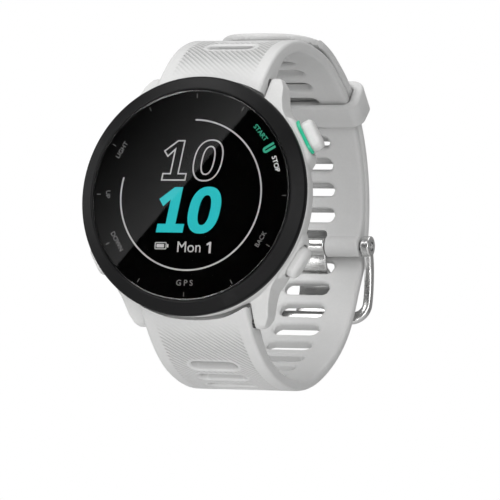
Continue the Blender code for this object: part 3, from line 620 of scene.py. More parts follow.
# how far each point lies outside the nearest slot's outline
def slotDistance(band, x, y, z):
    nearest = np.full(x.shape, 99.0)
    for angle in slotAngles(band):
        slotY, slotZ = loopPoint(angle, float(bandMiddle(band, angle)))
        turn = math.radians(angle)
        along = (y - slotY) * math.cos(turn) + (z - slotZ) * math.sin(turn)
        away = np.abs((y - slotY) * math.sin(turn) - (z - slotZ) * math.cos(turn))
        across = np.maximum(np.abs(x) - (slotSize["width"] - slotSize["height"]) / 2, 0)
        distance = np.hypot(across, along) - slotSize["height"] / 2
        nearest = np.minimum(nearest, np.where(away < 5, distance, 99.0))
    return nearest


def tipPlace():
    return float(loopPoint(lowerBand["ends"][1], 29.8)[1]) - lowerBand["tipRadius"]


def tipDistance(band, x, z, angle):
    if band is upperBand:
        return np.full(x.shape, 99.0)
    past = z - tipPlace()
    reach = band["tipRadius"] - np.hypot(x, np.maximum(past, 0)) + 3 * (1 - easeBetween(0, 3, past))
    return np.where(angle > 60, reach, 99.0)


# how much a rounded edge of the given radius has dropped at a distance from it
def edgeDrop(distance, radius):
    inward = radius - np.clip(distance, 0, radius)
    return radius - np.sqrt(radius ** 2 - inward ** 2)


def bandRows(band):
    angles = np.linspace(*band["ends"], 6000)
    y, z = loopPoint(angles, alongKnots(band["outer"], angles))
    length = np.concatenate(([0], np.cumsum(np.hypot(np.diff(y), np.diff(z)))))
    along = np.arange(0, length[-1], bandCut["step"])
    return along, np.interp(along, length, angles)


# 1 in the middle of a groove and 0 on the smooth parts round it
def grooveShape(band, x, along, away, tipAway):
    phase = np.mod(along + band["slant"] * x, 1.0)
    valley = np.clip(1.3 - np.minimum(phase, 1 - phase) / 0.3, 0, 1)
    fade = easeBetween(2.5, 12.0, along) * easeBetween(0.55, 0.85, away) * easeBetween(1.6, 2.0, tipAway)
    return valley * fade * np.where(np.abs(x) > bandCut["grooveHalf"] - 0.05, 0.0, 1.0)


# stores the groove shape on the finished mesh, where the silicone finish darkens it as painted shade in the
# groove bottoms
def markGrooves(piece, band):
    mesh = piece.data
    place = np.empty(len(mesh.vertices) * 3)
    mesh.vertices.foreach_get("co", place)
    x, depth, y = place.reshape(-1, 3).T / mm
    z = -depth
    angle = np.degrees(np.arctan2(y - loopMiddle[0], loopMiddle[1] - z))
    along, rowAngle = bandRows(band)
    order = np.argsort(rowAngle)
    alongHere = np.interp(angle, rowAngle[order], along[order])
    below = alongKnots(band["outer"], angle) - np.hypot(y - loopMiddle[0], z - loopMiddle[1])
    cut = grooveShape(band, x, alongHere, slotDistance(band, x, y, z), tipDistance(band, x, z, angle))
    shadeLayer = mesh.attributes.new("groove", "FLOAT", "POINT")
    shadeLayer.data.foreach_set("value", (cut * easeBetween(0.6, 0.45, below)).astype(np.float32))


def bandBody(name, band):
    half, edge, groove = bandCut["halfWidth"], bandCut["edge"], bandCut["grooveHalf"]
    along, angle = bandRows(band)
    flat = half - edge
    count = round(groove / bandCut["step"])
    grooved = np.arange(-count, count + 1) * bandCut["step"]
    margin = np.linspace(groove, flat, 5)[1:]
    outerX = np.concatenate((-margin[::-1], grooved, margin))
    innerX = np.concatenate((
        np.linspace(flat, 5.6, 6), np.linspace(5.2, -5.2, 27), np.linspace(-5.6, -flat, 6),
    ))
    quarter = np.radians(np.linspace(0, 90, 6)[1:-1])
    edgeX = flat + edge * np.sin(quarter)
    edgeDown = edge * (1 - np.cos(quarter))
    outer = alongKnots(band["outer"], angle)[:, None] - bandCut["skin"]
    thickness = alongKnots(band["thickness"], angle)[:, None]

    def facePoints(columns, radius):
        x = np.tile(columns, (len(angle), 1))
        y, z = loopPoint(angle[:, None], radius + 0 * x)
        return x, y, z, np.minimum(slotDistance(band, x, y, z), tipDistance(band, x, z, angle[:, None]))

    x, y, z, away = facePoints(outerX, outer)
    cut = grooveShape(band, x, along[:, None], away, tipDistance(band, x, z, angle[:, None]))
    outerR = outer - bandCut["groove"] * cut - edgeDrop(away, slotSize["rim"])
    ix, iy, iz, innerAway = facePoints(innerX, outer - thickness)
    innerR = outer - thickness + edgeDrop(innerAway, slotSize["rim"])
    rightX = np.concatenate((edgeX, [half, half], edgeX[::-1]))
    down = np.concatenate((edgeDown, [edge], [0], [0] * len(edgeDown)))
    up = np.concatenate(([0] * len(edgeDown), [0], [edge], edgeDown[::-1]))
    onOuter = np.concatenate((np.ones(len(edgeDown) + 1), np.zeros(len(edgeDown) + 1)))
    sideR = np.where(onOuter > 0, outer - down, outer - thickness + up)
    radius = np.concatenate((outerR, sideR, innerR, sideR[:, ::-1]), axis=1)
    xs = np.concatenate((outerX, rightX, innerX, -rightX[::-1]))
    y, z = loopPoint(angle[:, None], radius)
    return loftPiece(name, np.stack((np.tile(xs, (len(angle), 1)), y, z), -1))


def slotCutters(name, band):
    cutters = []
    for number, angle in enumerate(slotAngles(band)):
        y, z = loopPoint(angle, float(bandMiddle(band, angle)))
        place = Matrix.Translation((0, y, z)) @ Matrix.Rotation(math.radians(angle), 4, "X")
        outline = stadium(slotSize["width"], slotSize["height"])
        cutters.append(prismPiece(f"{name}{number}", outline, -2.6, 2.6, place))
    return cutters


def leverPlace(y, z):
    inward = (Vector((0, *loopMiddle)) - Vector((0, y, z))).normalized()
    along = Vector((1, 0, 0))
    turn = Matrix((along.cross(inward), along, inward)).transposed().to_4x4()
    return Matrix.Translation((0, y, z)) @ turn


def roundedBox(low, high, radius, steps=6):
    corners = ((high[0], high[1], 0), (low[0], high[1], 90), (low[0], low[1], 180), (high[0], low[1], 270))
    points = []
    for x, y, start in corners:
        x += -radius if x == high[0] else radius
        y += -radius if y == high[1] else radius
        points.append(arcPoints(radius, start, start + 90, steps, (x, y)))
    return np.concatenate(points)


def fitToCase(piece, side):
    y, z = side * lugs["barY"], lugs["barZ"]
    clearance = turnedPiece("clearance", caseWay, 0)
    hole = rodPiece("barHole", lugs["barRadius"] + 0.2, (-11, y, z), (11, y, z), 0)
    leverBox = roundedBox((-0.8, lugs["leverX"] - 2.2), (0.8, lugs["leverX"] + 1), 0.5)
    way = prismPiece("leverWay", leverBox, 0.2, 4, leverPlace(y, z))
    return combine(piece, [clearance, hole, way])


def buildLowerBand():
    piece = bandBody("strapLower", lowerBand)
    combine(piece, slotCutters("lowerSlot", lowerBand))
    half, tip = bandCut["halfWidth"] + 0.1, tipPlace()
    tailArc = arcPoints(lowerBand["tipRadius"], 180, 0, 48)
    outline = np.concatenate(([(-half - 2, 0)], tailArc, [(half + 2, 0), (half + 2, 16), (-half - 2, 16)]))
    place = Matrix.Translation((0, 0, tip)) @ Matrix.Rotation(math.radians(90), 4, "X")
    combine(piece, [prismPiece("tailTip", outline, -42, -27, place)])
    fitToCase(piece, -1)
    markGrooves(piece, lowerBand)
    return dress(smooth(piece, 50), "light_silicone", "case", "strap_lower")


buckle = {
    "barAngle": -7, "barLoop": 25.6, "barRadius": 0.75, "endRadius": 2.0, "notchHalf": 3.6,
    "halfWidth": 12.2, "armWidth": 1.6, "crossWidth": 2.3, "thickness": 1.6, "corner": 3.4, "crossY": -14.6,
    "tongueHalf": 3.2, "tongueThickness": 0.9, "barrelRadius": 1.65, "eyeRadius": 1.9,
}
barY, barZ = (float(value) for value in loopPoint(buckle["barAngle"], buckle["barLoop"]))


def buildUpperBand():
    piece = bandBody("strapUpper", upperBand)
    half = bandCut["halfWidth"]
    tube = rodPiece("endTube", buckle["endRadius"], (-half, barY, barZ), (half, barY, barZ), 0.6, 72)
    combine(piece, [tube], "UNION")
    hole = rodPiece("barHole", buckle["barRadius"] + 0.2, (-11, barY, barZ), (11, barY, barZ), 0)
    notch = roundedBox((-buckle["notchHalf"], barY - 4), (buckle["notchHalf"], barY + 2.9), 1.0)
    combine(piece, [hole, prismPiece("notch", notch, barZ - 4, barZ + 4)])
    combine(piece, slotCutters("upperSlot", upperBand))
    fitToCase(piece, 1)
    markGrooves(piece, upperBand)
    return dress(smooth(piece, 50), "light_silicone", "case", "strap_upper")


buildLowerBand()
buildUpperBand()
print("band ready")

# The keeper is a loop round both band halves; radii and window are measured from loopMiddle.
keeper = {
    "angles": (46, 58), "radii": (24.2, 31.3), "window": (25.3, 30.0), "halfWidth": 12.3, "windowHalf": 10.3,
    "corner": 2.2, "windowCorner": 1.2, "edge": 0.55,
}


# a closed outline in (x, r) with the same number of points for any corner radius
def matchedBox(half, low, high, radius, cornerSteps=10, straightSteps=8):
    corners = (
        (half - radius, high - radius, 0), (-half + radius, high - radius, 90),
        (-half + radius, low + radius, 180), (half - radius, low + radius, 270),
    )
    points = []
    for i, (x, r, start) in enumerate(corners):
        points.append(arcPoints(radius, start, start + 90, cornerSteps, (x, r)))
        x2, r2, start2 = corners[(i + 1) % 4]
        end = points[-1][-1]
        following = arcPoints(radius, start2, start2 + 1, 1, (x2, r2))[0]
        share = np.linspace(0, 1, straightSteps + 1)[1:-1, None]
        points.append(end + (following - end) * share)
    return np.concatenate(points)


def buildKeeper():
    outer = matchedBox(keeper["halfWidth"], *keeper["radii"], keeper["corner"])
    inner = matchedBox(keeper["windowHalf"], *keeper["window"], keeper["windowCorner"])
    middle = sum(keeper["angles"]) / 2
    halfAngle = (keeper["angles"][1] - keeper["angles"][0]) / 2
    width = math.radians(halfAngle) * 27.5 * 2
    edge = keeper["edge"]
    section = roundedBox((-width / 2, 0), (width / 2, 1.3), edge, 5)
    rings = []
    for (outX, outR), (inX, inR) in zip(outer, inner):
        share = section[:, 1] / 1.3
        crown = 0.12 * (1 - (section[:, 0] / (width / 2)) ** 2)
        share = np.clip(share - 0.12 / 1.3 * (share > 0.5) + crown * (share > 0.5), 0, 1)
        x = inX + (outX - inX) * share
        radius = inR + (outR - inR) * share
        y, z = loopPoint(middle + section[:, 0] / (width / 2) * halfAngle, radius)
        rings.append(np.stack((x, y, z), -1))
    piece = loftPiece("keeperLoop", rings, loop=True)
    return dress(smooth(piece, 60), "light_silicone", "keeper", "keeper_loop")


buildKeeper()
print("keeper ready")

# The case
case = {
    "profile": [
        (20.5, 9.1), (20.9, 8.8), (20.9, 8.0), (20.6, 5.93), (19.77, 3.7), (18.8, 2.6), (18.4, 2.4),
        (15.6, 2.4), (15.6, 3.9), (16.2, 3.9), (16.2, 8.3), (19.8, 8.3), (19.8, 9.1),
    ],
    "bore": 16.2, "buttonZ": 5.6, "pocketFloor": 18.5, "pocketGap": 0.6, "stemHole": 1.5,
    "screwCircle": 17.0, "screwAngles": (45, 135, 225, 315), "voxel": 0.13,
}
buttons = {
    "light": {"angle": 150, "reach": 22.6, "width": 5.6, "height": 2.7},
    "up": {"angle": 180, "reach": 22.6, "width": 5.6, "height": 2.7},
    "down": {"angle": 210, "reach": 22.6, "width": 5.6, "height": 2.7},
    "start": {"angle": 30, "reach": 24.0, "width": 5.8, "height": 3.0},
    "back": {"angle": -30, "reach": 22.7, "width": 5.8, "height": 3.3},
}
# each guard is (angle, reach, half angle); each step is (z, wall radius, share of the reach)
guards = {
    "places": ((30, 21.7, 17), (-30, 21.3, 17), (180, 21.4, 50)), "slope": 7.5, "sunk": 0.6, "points": 61,
    "steps": (
        (2.9, 19.3, 0.25), (3.5, 19.7, 0.72), (4.2, 20.0, 0.95), (4.8, 20.2, 1.0), (7.2, 20.8, 1.0),
        (7.75, 20.9, 0.86), (8.1, 20.9, 0.6),
    ),
}
lugSide = [
    (11, 8.6), (14.8, 8.3), (17.6, 6.3), (21.6, 3.4), (22.1, 2.5), (21.9, 1.5), (20.6, 1.0), (18.6, 1.4),
    (16.5, 2.6), (11, 3.4),
]
lugPlan = [
    (10.3, 14.2), (10.3, 22.5), (11.2, 22.3), (12.3, 21.6), (13.1, 20.2), (13.7, 17.8), (14.6, 15.6),
    (16.0, 13.6), (17.0, 11.6), (17.0, 11), (13.6, 11),
]


def lugPiece(sideX, sideY):
    flip = Matrix.Diagonal((sideX, sideY, 1, 1))
    side = prismPiece("lugSide", softCorners(lugSide, 0.5), 9, 19, flip @ sideView)
    plan = prismPiece("lugPlan", lugPlan, 0, 9.5, flip)
    return combine(side, [plan], "INTERSECT")


# a swelling on the case wall that stands up round the buttons
def guardPiece(angle, reach, half):
    sunk, points = guards["sunk"], guards["points"]
    turn = np.linspace(-half, half, points)
    swell = easeBetween(0, guards["slope"], half - np.abs(turn))
    back = np.radians(np.linspace(angle + half, angle - half, points))
    bearing = np.radians(angle + turn)
    rings = []
    for z, wall, share in guards["steps"]:
        radius = wall - sunk + (reach - wall + sunk) * swell * share
        outer = np.stack((radius * np.cos(bearing), radius * np.sin(bearing)), -1)
        inner = (case["bore"] + 2) * np.stack((np.cos(back), np.sin(back)), -1)
        rings.append(np.column_stack((np.concatenate((outer, inner)), np.full(2 * points, z))))
    return loftPiece("guard", rings)


def buttonPlace(button):
    turn = Matrix.Rotation(math.radians(button["angle"]), 4, "Z")
    return turn @ Matrix.Translation((0, 0, case["buttonZ"]))


def buildCase():
    piece = turnedPiece("midCase", case["profile"], 0.2)
    combine(piece, [lugPiece(x, y) for x in (1, -1) for y in (1, -1)], "UNION")
    for place in guards["places"]:
        combine(piece, [guardPiece(*place)], "UNION")
    for button in buttons.values():
        turn = buttonPlace(button)
        pocket = stadium(button["width"] + case["pocketGap"], button["height"] + case["pocketGap"])
        hole = stadium(2 * case["stemHole"] + 0.01, 2 * case["stemHole"])
        combine(piece, [
            prismPiece("pocket", pocket, case["pocketFloor"], 25, turn @ sideView),
            prismPiece("stemHole", hole, case["bore"] - 1, 19.5, turn @ sideView),
        ])
    for sideX in (1, -1):
        for sideY in (1, -1):
            y, z = sideY * lugs["barY"], lugs["barZ"]
            radius = lugs["pinRadius"] + 0.15
            hole = rodPiece("lugHole", radius, (sideX * 9.3, y, z), (sideX * 11.9, y, z), 0)
            combine(piece, [hole])
    for angle in case["screwAngles"]:
        x, y = arcPoints(case["screwCircle"], angle, angle, 1)[0]
        combine(piece, [rodPiece("screwHole", 0.6, (x, y, 1.5), (x, y, 4.1), 0)])
    remesh = piece.modifiers.new("evenMesh", "REMESH")
    remesh.mode = "VOXEL"
    remesh.voxel_size = case["voxel"] * mm
    soften = piece.modifiers.new("softEdges", "SMOOTH")
    soften.factor = 0.5
    soften.iterations = 5
    bakeModifiers(piece)
    return dress(smooth(piece, 180), "light_polymer", "case", "mid_case")


buildCase()
print("case ready")


# (radius, z) profiles of the ring, the glass and the black face under it
front = {
    "bezel": [
        (18.75, 11.5), (20.8, 10.5), (21.0, 10.2), (21.0, 9.4), (19.5, 9.4), (19.5, 8.6), (16.2, 8.6),
        (16.2, 9.7), (18.4, 9.7), (18.4, 11.3),
    ],
    "glass": [(0, 11.6), (18.2, 11.6), (18.32, 11.48), (18.32, 11.12), (0, 11.12)],
    "face": [(0, 11.07), (18.32, 11.07), (18.32, 10.55), (0, 10.55)],
    "bezelEdge": 0.12, "glassEdge": 0.03, "faceEdge": 0.05, "turns": 192,
}


def buildBezelAndGlass():
    bezel = turnedPiece("bezelRing", front["bezel"], front["bezelEdge"], front["turns"])
    dress(bezel, "black_bezel", "case", "bezel_ring")
    glass = turnedPiece("coverLens", front["glass"], front["glassEdge"], front["turns"])
    dress(glass, "cover_glass", "case", "cover_lens")
    face = turnedPiece("dialFace", front["face"], front["faceEdge"], front["turns"])
    dress(face, "display", "case")


buildBezelAndGlass()

# Dial graphics, as thin inlays just over the dial face
inlay = {"low": 11.08, "high": 11.095}
# the last number of each ink is a painted glow, standing in for lamp light that the glass keeps from the dial
inks = {
    "cyan": inkFinish("cyanArea", (0.001, 0.42, 0.44), True, 0.4),
    "light": inkFinish("lightArea", (0.42, 0.42, 0.42), True, 0.35),
    "grey": inkFinish("greyPrint", (0.12, 0.12, 0.12), False, 0.5),
    "dim": inkFinish("dimPrint", (0.07, 0.07, 0.07), False, 0.4),
    "white": inkFinish("whitePrint", (0.7, 0.7, 0.7), False, 0.5),
    "green": inkFinish("greenPrint", (0.02, 0.3, 0.18), False, 0.5),
}


def flatPiece(name, outlines, ink):
    curve = bpy.data.curves.new(name, "CURVE")
    curve.dimensions = "2D"
    curve.fill_mode = "BOTH"
    curve.extrude = (inlay["high"] - inlay["low"]) / 2 * mm
    for outline in outlines:
        spline = curve.splines.new("POLY")
        spline.points.add(len(outline) - 1)
        for point, (x, y) in zip(spline.points, outline):
            point.co = (x * mm, y * mm, 0, 1)
        spline.use_cyclic_u = True
    return layOnDial(name, curve, Matrix(), ink)


def layOnDial(name, curve, place, ink):
    drawing = bpy.data.objects.new(name, curve)
    bpy.context.scene.collection.objects.link(drawing)
    graph = bpy.context.evaluated_depsgraph_get()
    mesh = bpy.data.meshes.new_from_object(drawing.evaluated_get(graph))
    bpy.data.objects.remove(drawing)
    mesh.transform(place)
    mesh.transform(Matrix.Translation((0, 0, (inlay["low"] + inlay["high"]) / 2 * mm)))
    mesh.transform(Matrix.Rotation(math.radians(90), 4, "X"))
    shape = bmesh.new()
    shape.from_mesh(mesh)
    bmesh.ops.remove_doubles(shape, verts=shape.verts, dist=1e-7)
    shape.to_mesh(mesh)
    shape.free()
    piece = bpy.data.objects.new(name, mesh)
    bpy.context.scene.collection.objects.link(piece)
    mesh.materials.clear()
    mesh.materials.append(inks[ink])
    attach(piece, "case")
    return piece


# moves every side of an outline inward by the same distance
def shrunk(outline, distance):
    points = [Vector(p) for p in outline]
    made = []
    for i, corner in enumerate(points):
        into = (corner - points[i - 1]).normalized()
        out = (points[(i + 1) % len(points)] - corner).normalized()
        inward = Vector((into.y, -into.x)) + Vector((out.y, -out.x))
        made.append(tuple(corner + inward * distance / (1 + into.dot(out))))
    return made


# the figure 1 in a unit box, leaning by its own slant, and the figure 0 as two leaning ovals
figure = {
    "one": [(0.44, 1.0), (0.707, 1.0), (0.707, 0.19), (1.0, 0.19), (1.0, 0.0), (0.118, 0.0), (0.118, 0.19),
            (0.384, 0.19), (0.384, 0.731), (0.182, 0.577), (0.0, 0.735)],
    "lean": 0.155, "zeroWidth": 5.45, "zeroHole": (0.37, 0.63), "fullness": 2.35,
}


def leaning(points, x, y, height):
    return [(x + px + (py - 0.5 * height) * figure["lean"], y + py) for px, py in points]


def figureOne(x, y, width, height):
    return leaning([(px * width, py * height) for px, py in figure["one"]], x, y, height)


def figureZero(x, y, height, share, line=0.0):
    turn = np.linspace(0, 2 * math.pi, 96, endpoint=False)
    power = 2 / figure["fullness"]
    halfX = figure["zeroWidth"] / 2 * share[0] - line
    halfY = height / 2 * share[1] - line
    px = halfX * np.sign(np.cos(turn)) * np.abs(np.cos(turn)) ** power
    py = halfY * np.sign(np.sin(turn)) * np.abs(np.sin(turn)) ** power + height / 2
    return leaning(list(zip(px, py)), x, y, height)


def labelPiece(name, words, size, x, y, turn, ink, bold=0.0, narrow=1.0):
    text = bpy.data.curves.new(name, "FONT")
    text.body = words
    text.size = size * mm
    text.extrude = (inlay["high"] - inlay["low"]) / 2 * mm
    text.offset = bold * mm
    text.align_x = "CENTER"
    text.align_y = "CENTER"
    text.resolution_u = 6
    turned = Matrix.Rotation(turn, 4, "Z") @ Matrix.Diagonal((narrow, 1, 1, 1))
    return layOnDial(name, text, Matrix.Translation((x * mm, y * mm, 0)) @ turned, ink)


# name, words, angle, radius, size, ink and whether the tops of the letters point outward
dialLabels = (
    ("lightLabel", "LIGHT", 150, 15.64, 1.15, "grey", True),
    ("upLabel", "UP", 180, 15.65, 1.15, "grey", False),
    ("downLabel", "DOWN", 212, 15.67, 1.15, "grey", False),
    ("startLabel", "START", 41.5, 16.4, 1.2, "green", True),
    ("stopLabel", "STOP", 19.5, 16.4, 1.2, "white", True),
    ("backLabel", "BACK", -29.3, 15.64, 1.15, "grey", False),
)


# the figures are (x, y, width, height) for a 1 and (x, y, height) for a 0
dial = {
    "ringRadii": (13.285, 13.015), "ringAngles": (90, -193.1), "ringSteps": 160,
    "marks": (17.0, 17.75), "markHalf": 0.085, "bareHour": 2, "line": 0.24,
    "hourOne": (-5.83, 2.45, 5.22, 7.14), "hourZero": (2.85, 2.35, 7.36),
    "minuteOne": (-6.09, -6.62, 5.67, 7.95), "minuteZero": (2.8, -6.75, 8.17),
    "minuteOuter": (1.08, 1), "minuteHole": (0.4, 0.64), "signAngle": 30.4,
}


def buildDialRing():
    start, end = dial["ringAngles"]
    outer, inner = dial["ringRadii"]
    steps = dial["ringSteps"]
    ring = np.concatenate((arcPoints(outer, start, end, steps), arcPoints(inner, end, start, steps)))
    flatPiece("dialRing", [ring], "light")
    near, far = dial["marks"]
    half = dial["markHalf"]
    for hour in range(12):
        if hour == dial["bareHour"]:
            continue
        turn = Matrix.Rotation(math.radians(90 - 30 * hour), 2)
        corners = [turn @ Vector(c) for c in ((near, -half), (far, -half), (far, half), (near, half))]
        flatPiece(f"hourMark{hour}", [[tuple(c) for c in corners]], "dim")


def buildDialFigures():
    line, hole = dial["line"], figure["zeroHole"]
    one = figureOne(*dial["hourOne"])
    flatPiece("hourOne", [one, shrunk(one, line)], "light")
    flatPiece("hourZero", [
        figureZero(*dial["hourZero"], (1, 1)),
        figureZero(*dial["hourZero"], (1, 1), line),
        figureZero(*dial["hourZero"], hole, -line),
        figureZero(*dial["hourZero"], hole),
    ], "light")
    flatPiece("minuteOne", [figureOne(*dial["minuteOne"])], "cyan")
    flatPiece("minuteZero", [
        figureZero(*dial["minuteZero"], dial["minuteOuter"]),
        figureZero(*dial["minuteZero"], dial["minuteHole"]),
    ], "cyan")


# the battery sign, the date, the words by the buttons and the sign by the start button
def buildDialSigns():
    shell = roundedBox((-6.05, -9.57), (-3.85, -8.33), 0.22)
    flatPiece("batteryOutline", [shell, roundedBox((-5.9, -9.42), (-4.0, -8.48), 0.1)], "light")
    flatPiece("batteryLevel", [roundedBox((-5.72, -9.26), (-4.3, -8.64), 0.08)], "light")
    flatPiece("batteryTip", [roundedBox((-3.76, -9.25), (-3.5, -8.65), 0.1)], "light")
    labelPiece("dateDay", "Mon", 2.7, 0.38, -9.2, 0, "light", 0, 0.95)
    flatPiece("dateNumber", [[
        (4.25, -8.18), (4.5, -8.18), (4.5, -10.16), (4.12, -10.16), (4.12, -8.66), (3.68, -8.82),
        (3.68, -8.5),
    ]], "light")
    labelPiece("kindLabel", "G P S", 1.4, 0, -15.4, 0, "grey", 0.02)
    for name, words, angle, radius, size, ink, clockwise in dialLabels:
        x, y = arcPoints(radius, angle, angle, 1)[0]
        turn = math.radians(angle - 90 if clockwise else angle + 90)
        labelPiece(name, words, size, x, y, turn, ink, 0.008)
    mark = np.concatenate((
        [(17.45, 0.55)], arcPoints(0.55, 90, 270, 16, (15.6, 0)), [(17.45, -0.55), (17.45, -0.13)],
        arcPoints(0.13, 270, 90, 8, (15.6, 0)), [(17.45, 0.13)],
    ))
    turn = Matrix.Rotation(math.radians(dial["signAngle"]), 2)
    flatPiece("startStopMark", [[tuple(turn @ Vector(p)) for p in mark]], "green")


buildDialRing()
buildDialFigures()
buildDialSigns()
print("dial ready")


cap = {"foot": 19.3, "bulge": 1.0, "stemRadius": 0.6, "stem": (15.2, 19.8)}


def buildButton(name, button):
    turn = buttonPlace(button)
    bulge, half = cap["bulge"], button["height"] / 2 - 0.02
    share = np.radians(np.linspace(0, 90, 17))
    rings = []
    steps = [(cap["foot"], 0.0), (button["reach"] - bulge - 0.1, 0.0)]
    radii = button["reach"] - bulge * (1 - np.sin(share) ** 0.75)
    steps += list(zip(radii, half * (1 - np.cos(share) ** 0.75)))
    for radius, inset in steps:
        outline = stadium(button["width"] - 2 * inset, button["height"] - 2 * inset, 20)
        rings.append(np.column_stack((outline, np.full(len(outline), radius))))
    piece = loftPiece(name + "Button", movedBy(turn @ sideView, np.array(rings)))
    ends = [turn @ Vector((radius, 0, 0)) for radius in cap["stem"]]
    combine(piece, [rodPiece("stem", cap["stemRadius"], *ends, 0.1)], "UNION")
    return dress(smooth(piece, 40), "light_polymer", name + "_button_set", name + "_button")


# the green arch that cups the front of the start button
accent = {
    "gap": 0.58, "angles": (28, 152), "radius": 21.78, "halfWidth": 0.22, "halfDepth": 0.3, "corner": 0.14,
    "arcSteps": 20, "flatPoints": 12, "endPoints": 3,
}


def buildAccent():
    button = buttons["start"]
    turn = buttonPlace(button)
    middle, bend = (button["width"] - button["height"]) / 2, button["height"] / 2 + accent["gap"]
    start, end = accent["angles"]
    right = arcPoints(bend, start, 90, accent["arcSteps"], (middle, 0))
    left = arcPoints(bend, 90, end, accent["arcSteps"], (-middle, 0))
    count = accent["flatPoints"]
    flat = np.column_stack((np.linspace(middle, -middle, count + 2)[1:-1], np.full(count, bend)))
    path = np.concatenate((right, flat, left))
    rings = []
    for i, (across, up) in enumerate(path):
        run = Vector(path[min(i + 1, len(path) - 1)] - path[max(i - 1, 0)]).normalized()
        away = min(i, len(path) - 1 - i)
        size = math.sqrt(max(0.04, 1 - (1 - min(away, accent["endPoints"]) / accent["endPoints"]) ** 2))
        wide, deep = accent["halfWidth"] * size, accent["halfDepth"] * size
        section = roundedBox((-wide, -deep), (wide, deep), accent["corner"] * size, 4)
        rings.append([(across - run.y * a, up + run.x * a, accent["radius"] + b) for a, b in section])
    piece = loftPiece("startInlay", movedBy(turn @ sideView, np.array(rings)))
    return dress(smooth(piece, 50), "green_accent", "case", "start_button_accent")


for name, button in buttons.items():
    buildButton(name, button)
buildAccent()
print("buttons ready")

# The buckle frame and its tongue in side view, (y, z)
framePath = [
    (barY, barZ), (-3.5, -47.7), (-7.0, -48.3), (-10.0, -48.3), (-12.5, -47.8), (-14.8, -47.1),
]
tonguePath = [
    (barY - 0.8, barZ - 0.4), (-2.8, -46.9), (-4.2, -47.6), (-4.75, -49.0), (-5.6, -50.2), (-8.0, -50.7),
    (-11.0, -50.0), (-12.8, -49.3), (-14.9, -48.7),
]


def curveThrough(points, steps=12):
    path = []
    for i in range(len(points) - 1):
        before, start = Vector(points[max(i - 1, 0)]), Vector(points[i])
        end, after = Vector(points[i + 1]), Vector(points[min(i + 2, len(points) - 1)])
        for k in range(steps):
            t = k / steps
            path.append(
                start + (end - before) * t / 2 + (2 * before - 5 * start + 4 * end - after) * t * t / 2
                + (3 * start - before - 3 * end + after) * t ** 3 / 2
            )
    return np.array([tuple(p) for p in path + [Vector(points[-1])]])


def buildBuckleFrame():
    side = curveThrough(framePath)
    arm, cross = buckle["armWidth"], buckle["crossWidth"]
    reachX = buckle["halfWidth"] - arm / 2
    foot = buckle["crossY"] + cross / 2
    corner = buckle["corner"] - arm / 2
    left = [(-reachX, y) for y in np.linspace(barY - 1.2, foot + corner + 0.4, 24)]
    turnLeft = arcPoints(corner, 180, 270, 16, (-reachX + corner, foot + corner))
    middle = [(x, foot) for x in np.linspace(-reachX + corner, reachX - corner, 24)[1:-1]]
    turnRight = arcPoints(corner, 270, 360, 16, (reachX - corner, foot + corner))
    plan = np.concatenate((left, turnLeft, middle, turnRight, [(-x, y) for x, y in left[::-1]]))
    heights = np.interp(-plan[:, 1], -side[:, 0], side[:, 1])
    path = np.column_stack((plan, heights))
    rings = []
    for i, point in enumerate(path):
        run = Vector(path[min(i + 1, len(path) - 1)] - path[max(i - 1, 0)]).normalized()
        crossing = 1 - abs(run.y)
        slope = np.gradient(side[:, 1], side[:, 0])
        tilt = float(np.interp(-point[1], -side[:, 0], slope))
        up = Vector((0, -tilt, 1)).normalized()
        across = run.cross(up).normalized()
        up = across.cross(run)
        halfAcross = (arm + (cross - arm) * crossing) / 2
        turn = np.linspace(0, 2 * math.pi, 32, endpoint=False)
        a = halfAcross * np.sign(np.cos(turn)) * np.abs(np.cos(turn)) ** 0.6
        b = buckle["thickness"] / 2 * np.sign(np.sin(turn)) * np.abs(np.sin(turn)) ** 0.6
        rings.append([tuple(Vector(point) + across * p + up * q) for p, q in zip(a, b)])
    piece = loftPiece("buckleFrame", rings)
    for sign in (1, -1):
        start = (sign * (reachX - arm / 2), barY, barZ)
        end = (sign * (reachX + arm / 2), barY, barZ)
        combine(piece, [rodPiece("eye", buckle["eyeRadius"], start, end, 0.3, 64)], "UNION")
    hole = rodPiece("eyeHole", buckle["barRadius"] + 0.15, (-14, barY, barZ), (14, barY, barZ), 0)
    combine(piece, [hole])
    return dress(smooth(piece, 45), "buckle_steel", "buckle", "buckle_frame")


def buildTongue():
    path = curveThrough(tonguePath)
    thick = buckle["tongueThickness"] / 2
    rings = []
    for i, (y, z) in enumerate(path):
        run = Vector(path[min(i + 1, len(path) - 1)] - path[max(i - 1, 0)]).normalized()
        side = Vector((-run.y, run.x))
        tip = easeBetween(0, 14, len(path) - 1 - i)
        half = buckle["tongueHalf"] * (0.72 + 0.28 * float(tip))
        section = roundedBox((-half, -thick), (half, thick), 0.32, 4)
        rings.append([(x, y + side.x * across, z + side.y * across) for x, across in section])
    piece = loftPiece("buckleTongue", rings)
    half = buckle["tongueHalf"]
    barrel = rodPiece("barrel", buckle["barrelRadius"], (-half, barY, barZ), (half, barY, barZ), 0.3, 64)
    combine(piece, [barrel], "UNION")
    hole = rodPiece("barrelHole", buckle["barRadius"] + 0.2, (-5, barY, barZ), (5, barY, barZ), 0)
    combine(piece, [hole])
    return dress(smooth(piece, 40), "buckle_steel", "tongue", "buckle_tongue")


buildBuckleFrame()
buildTongue()
bar = rodPiece("buckleBar", buckle["barRadius"], (-11.7, barY, barZ), (11.7, barY, barZ), 0.2)
dress(bar, "plain_steel", "case", "buckle_bar")
print("buckle ready")

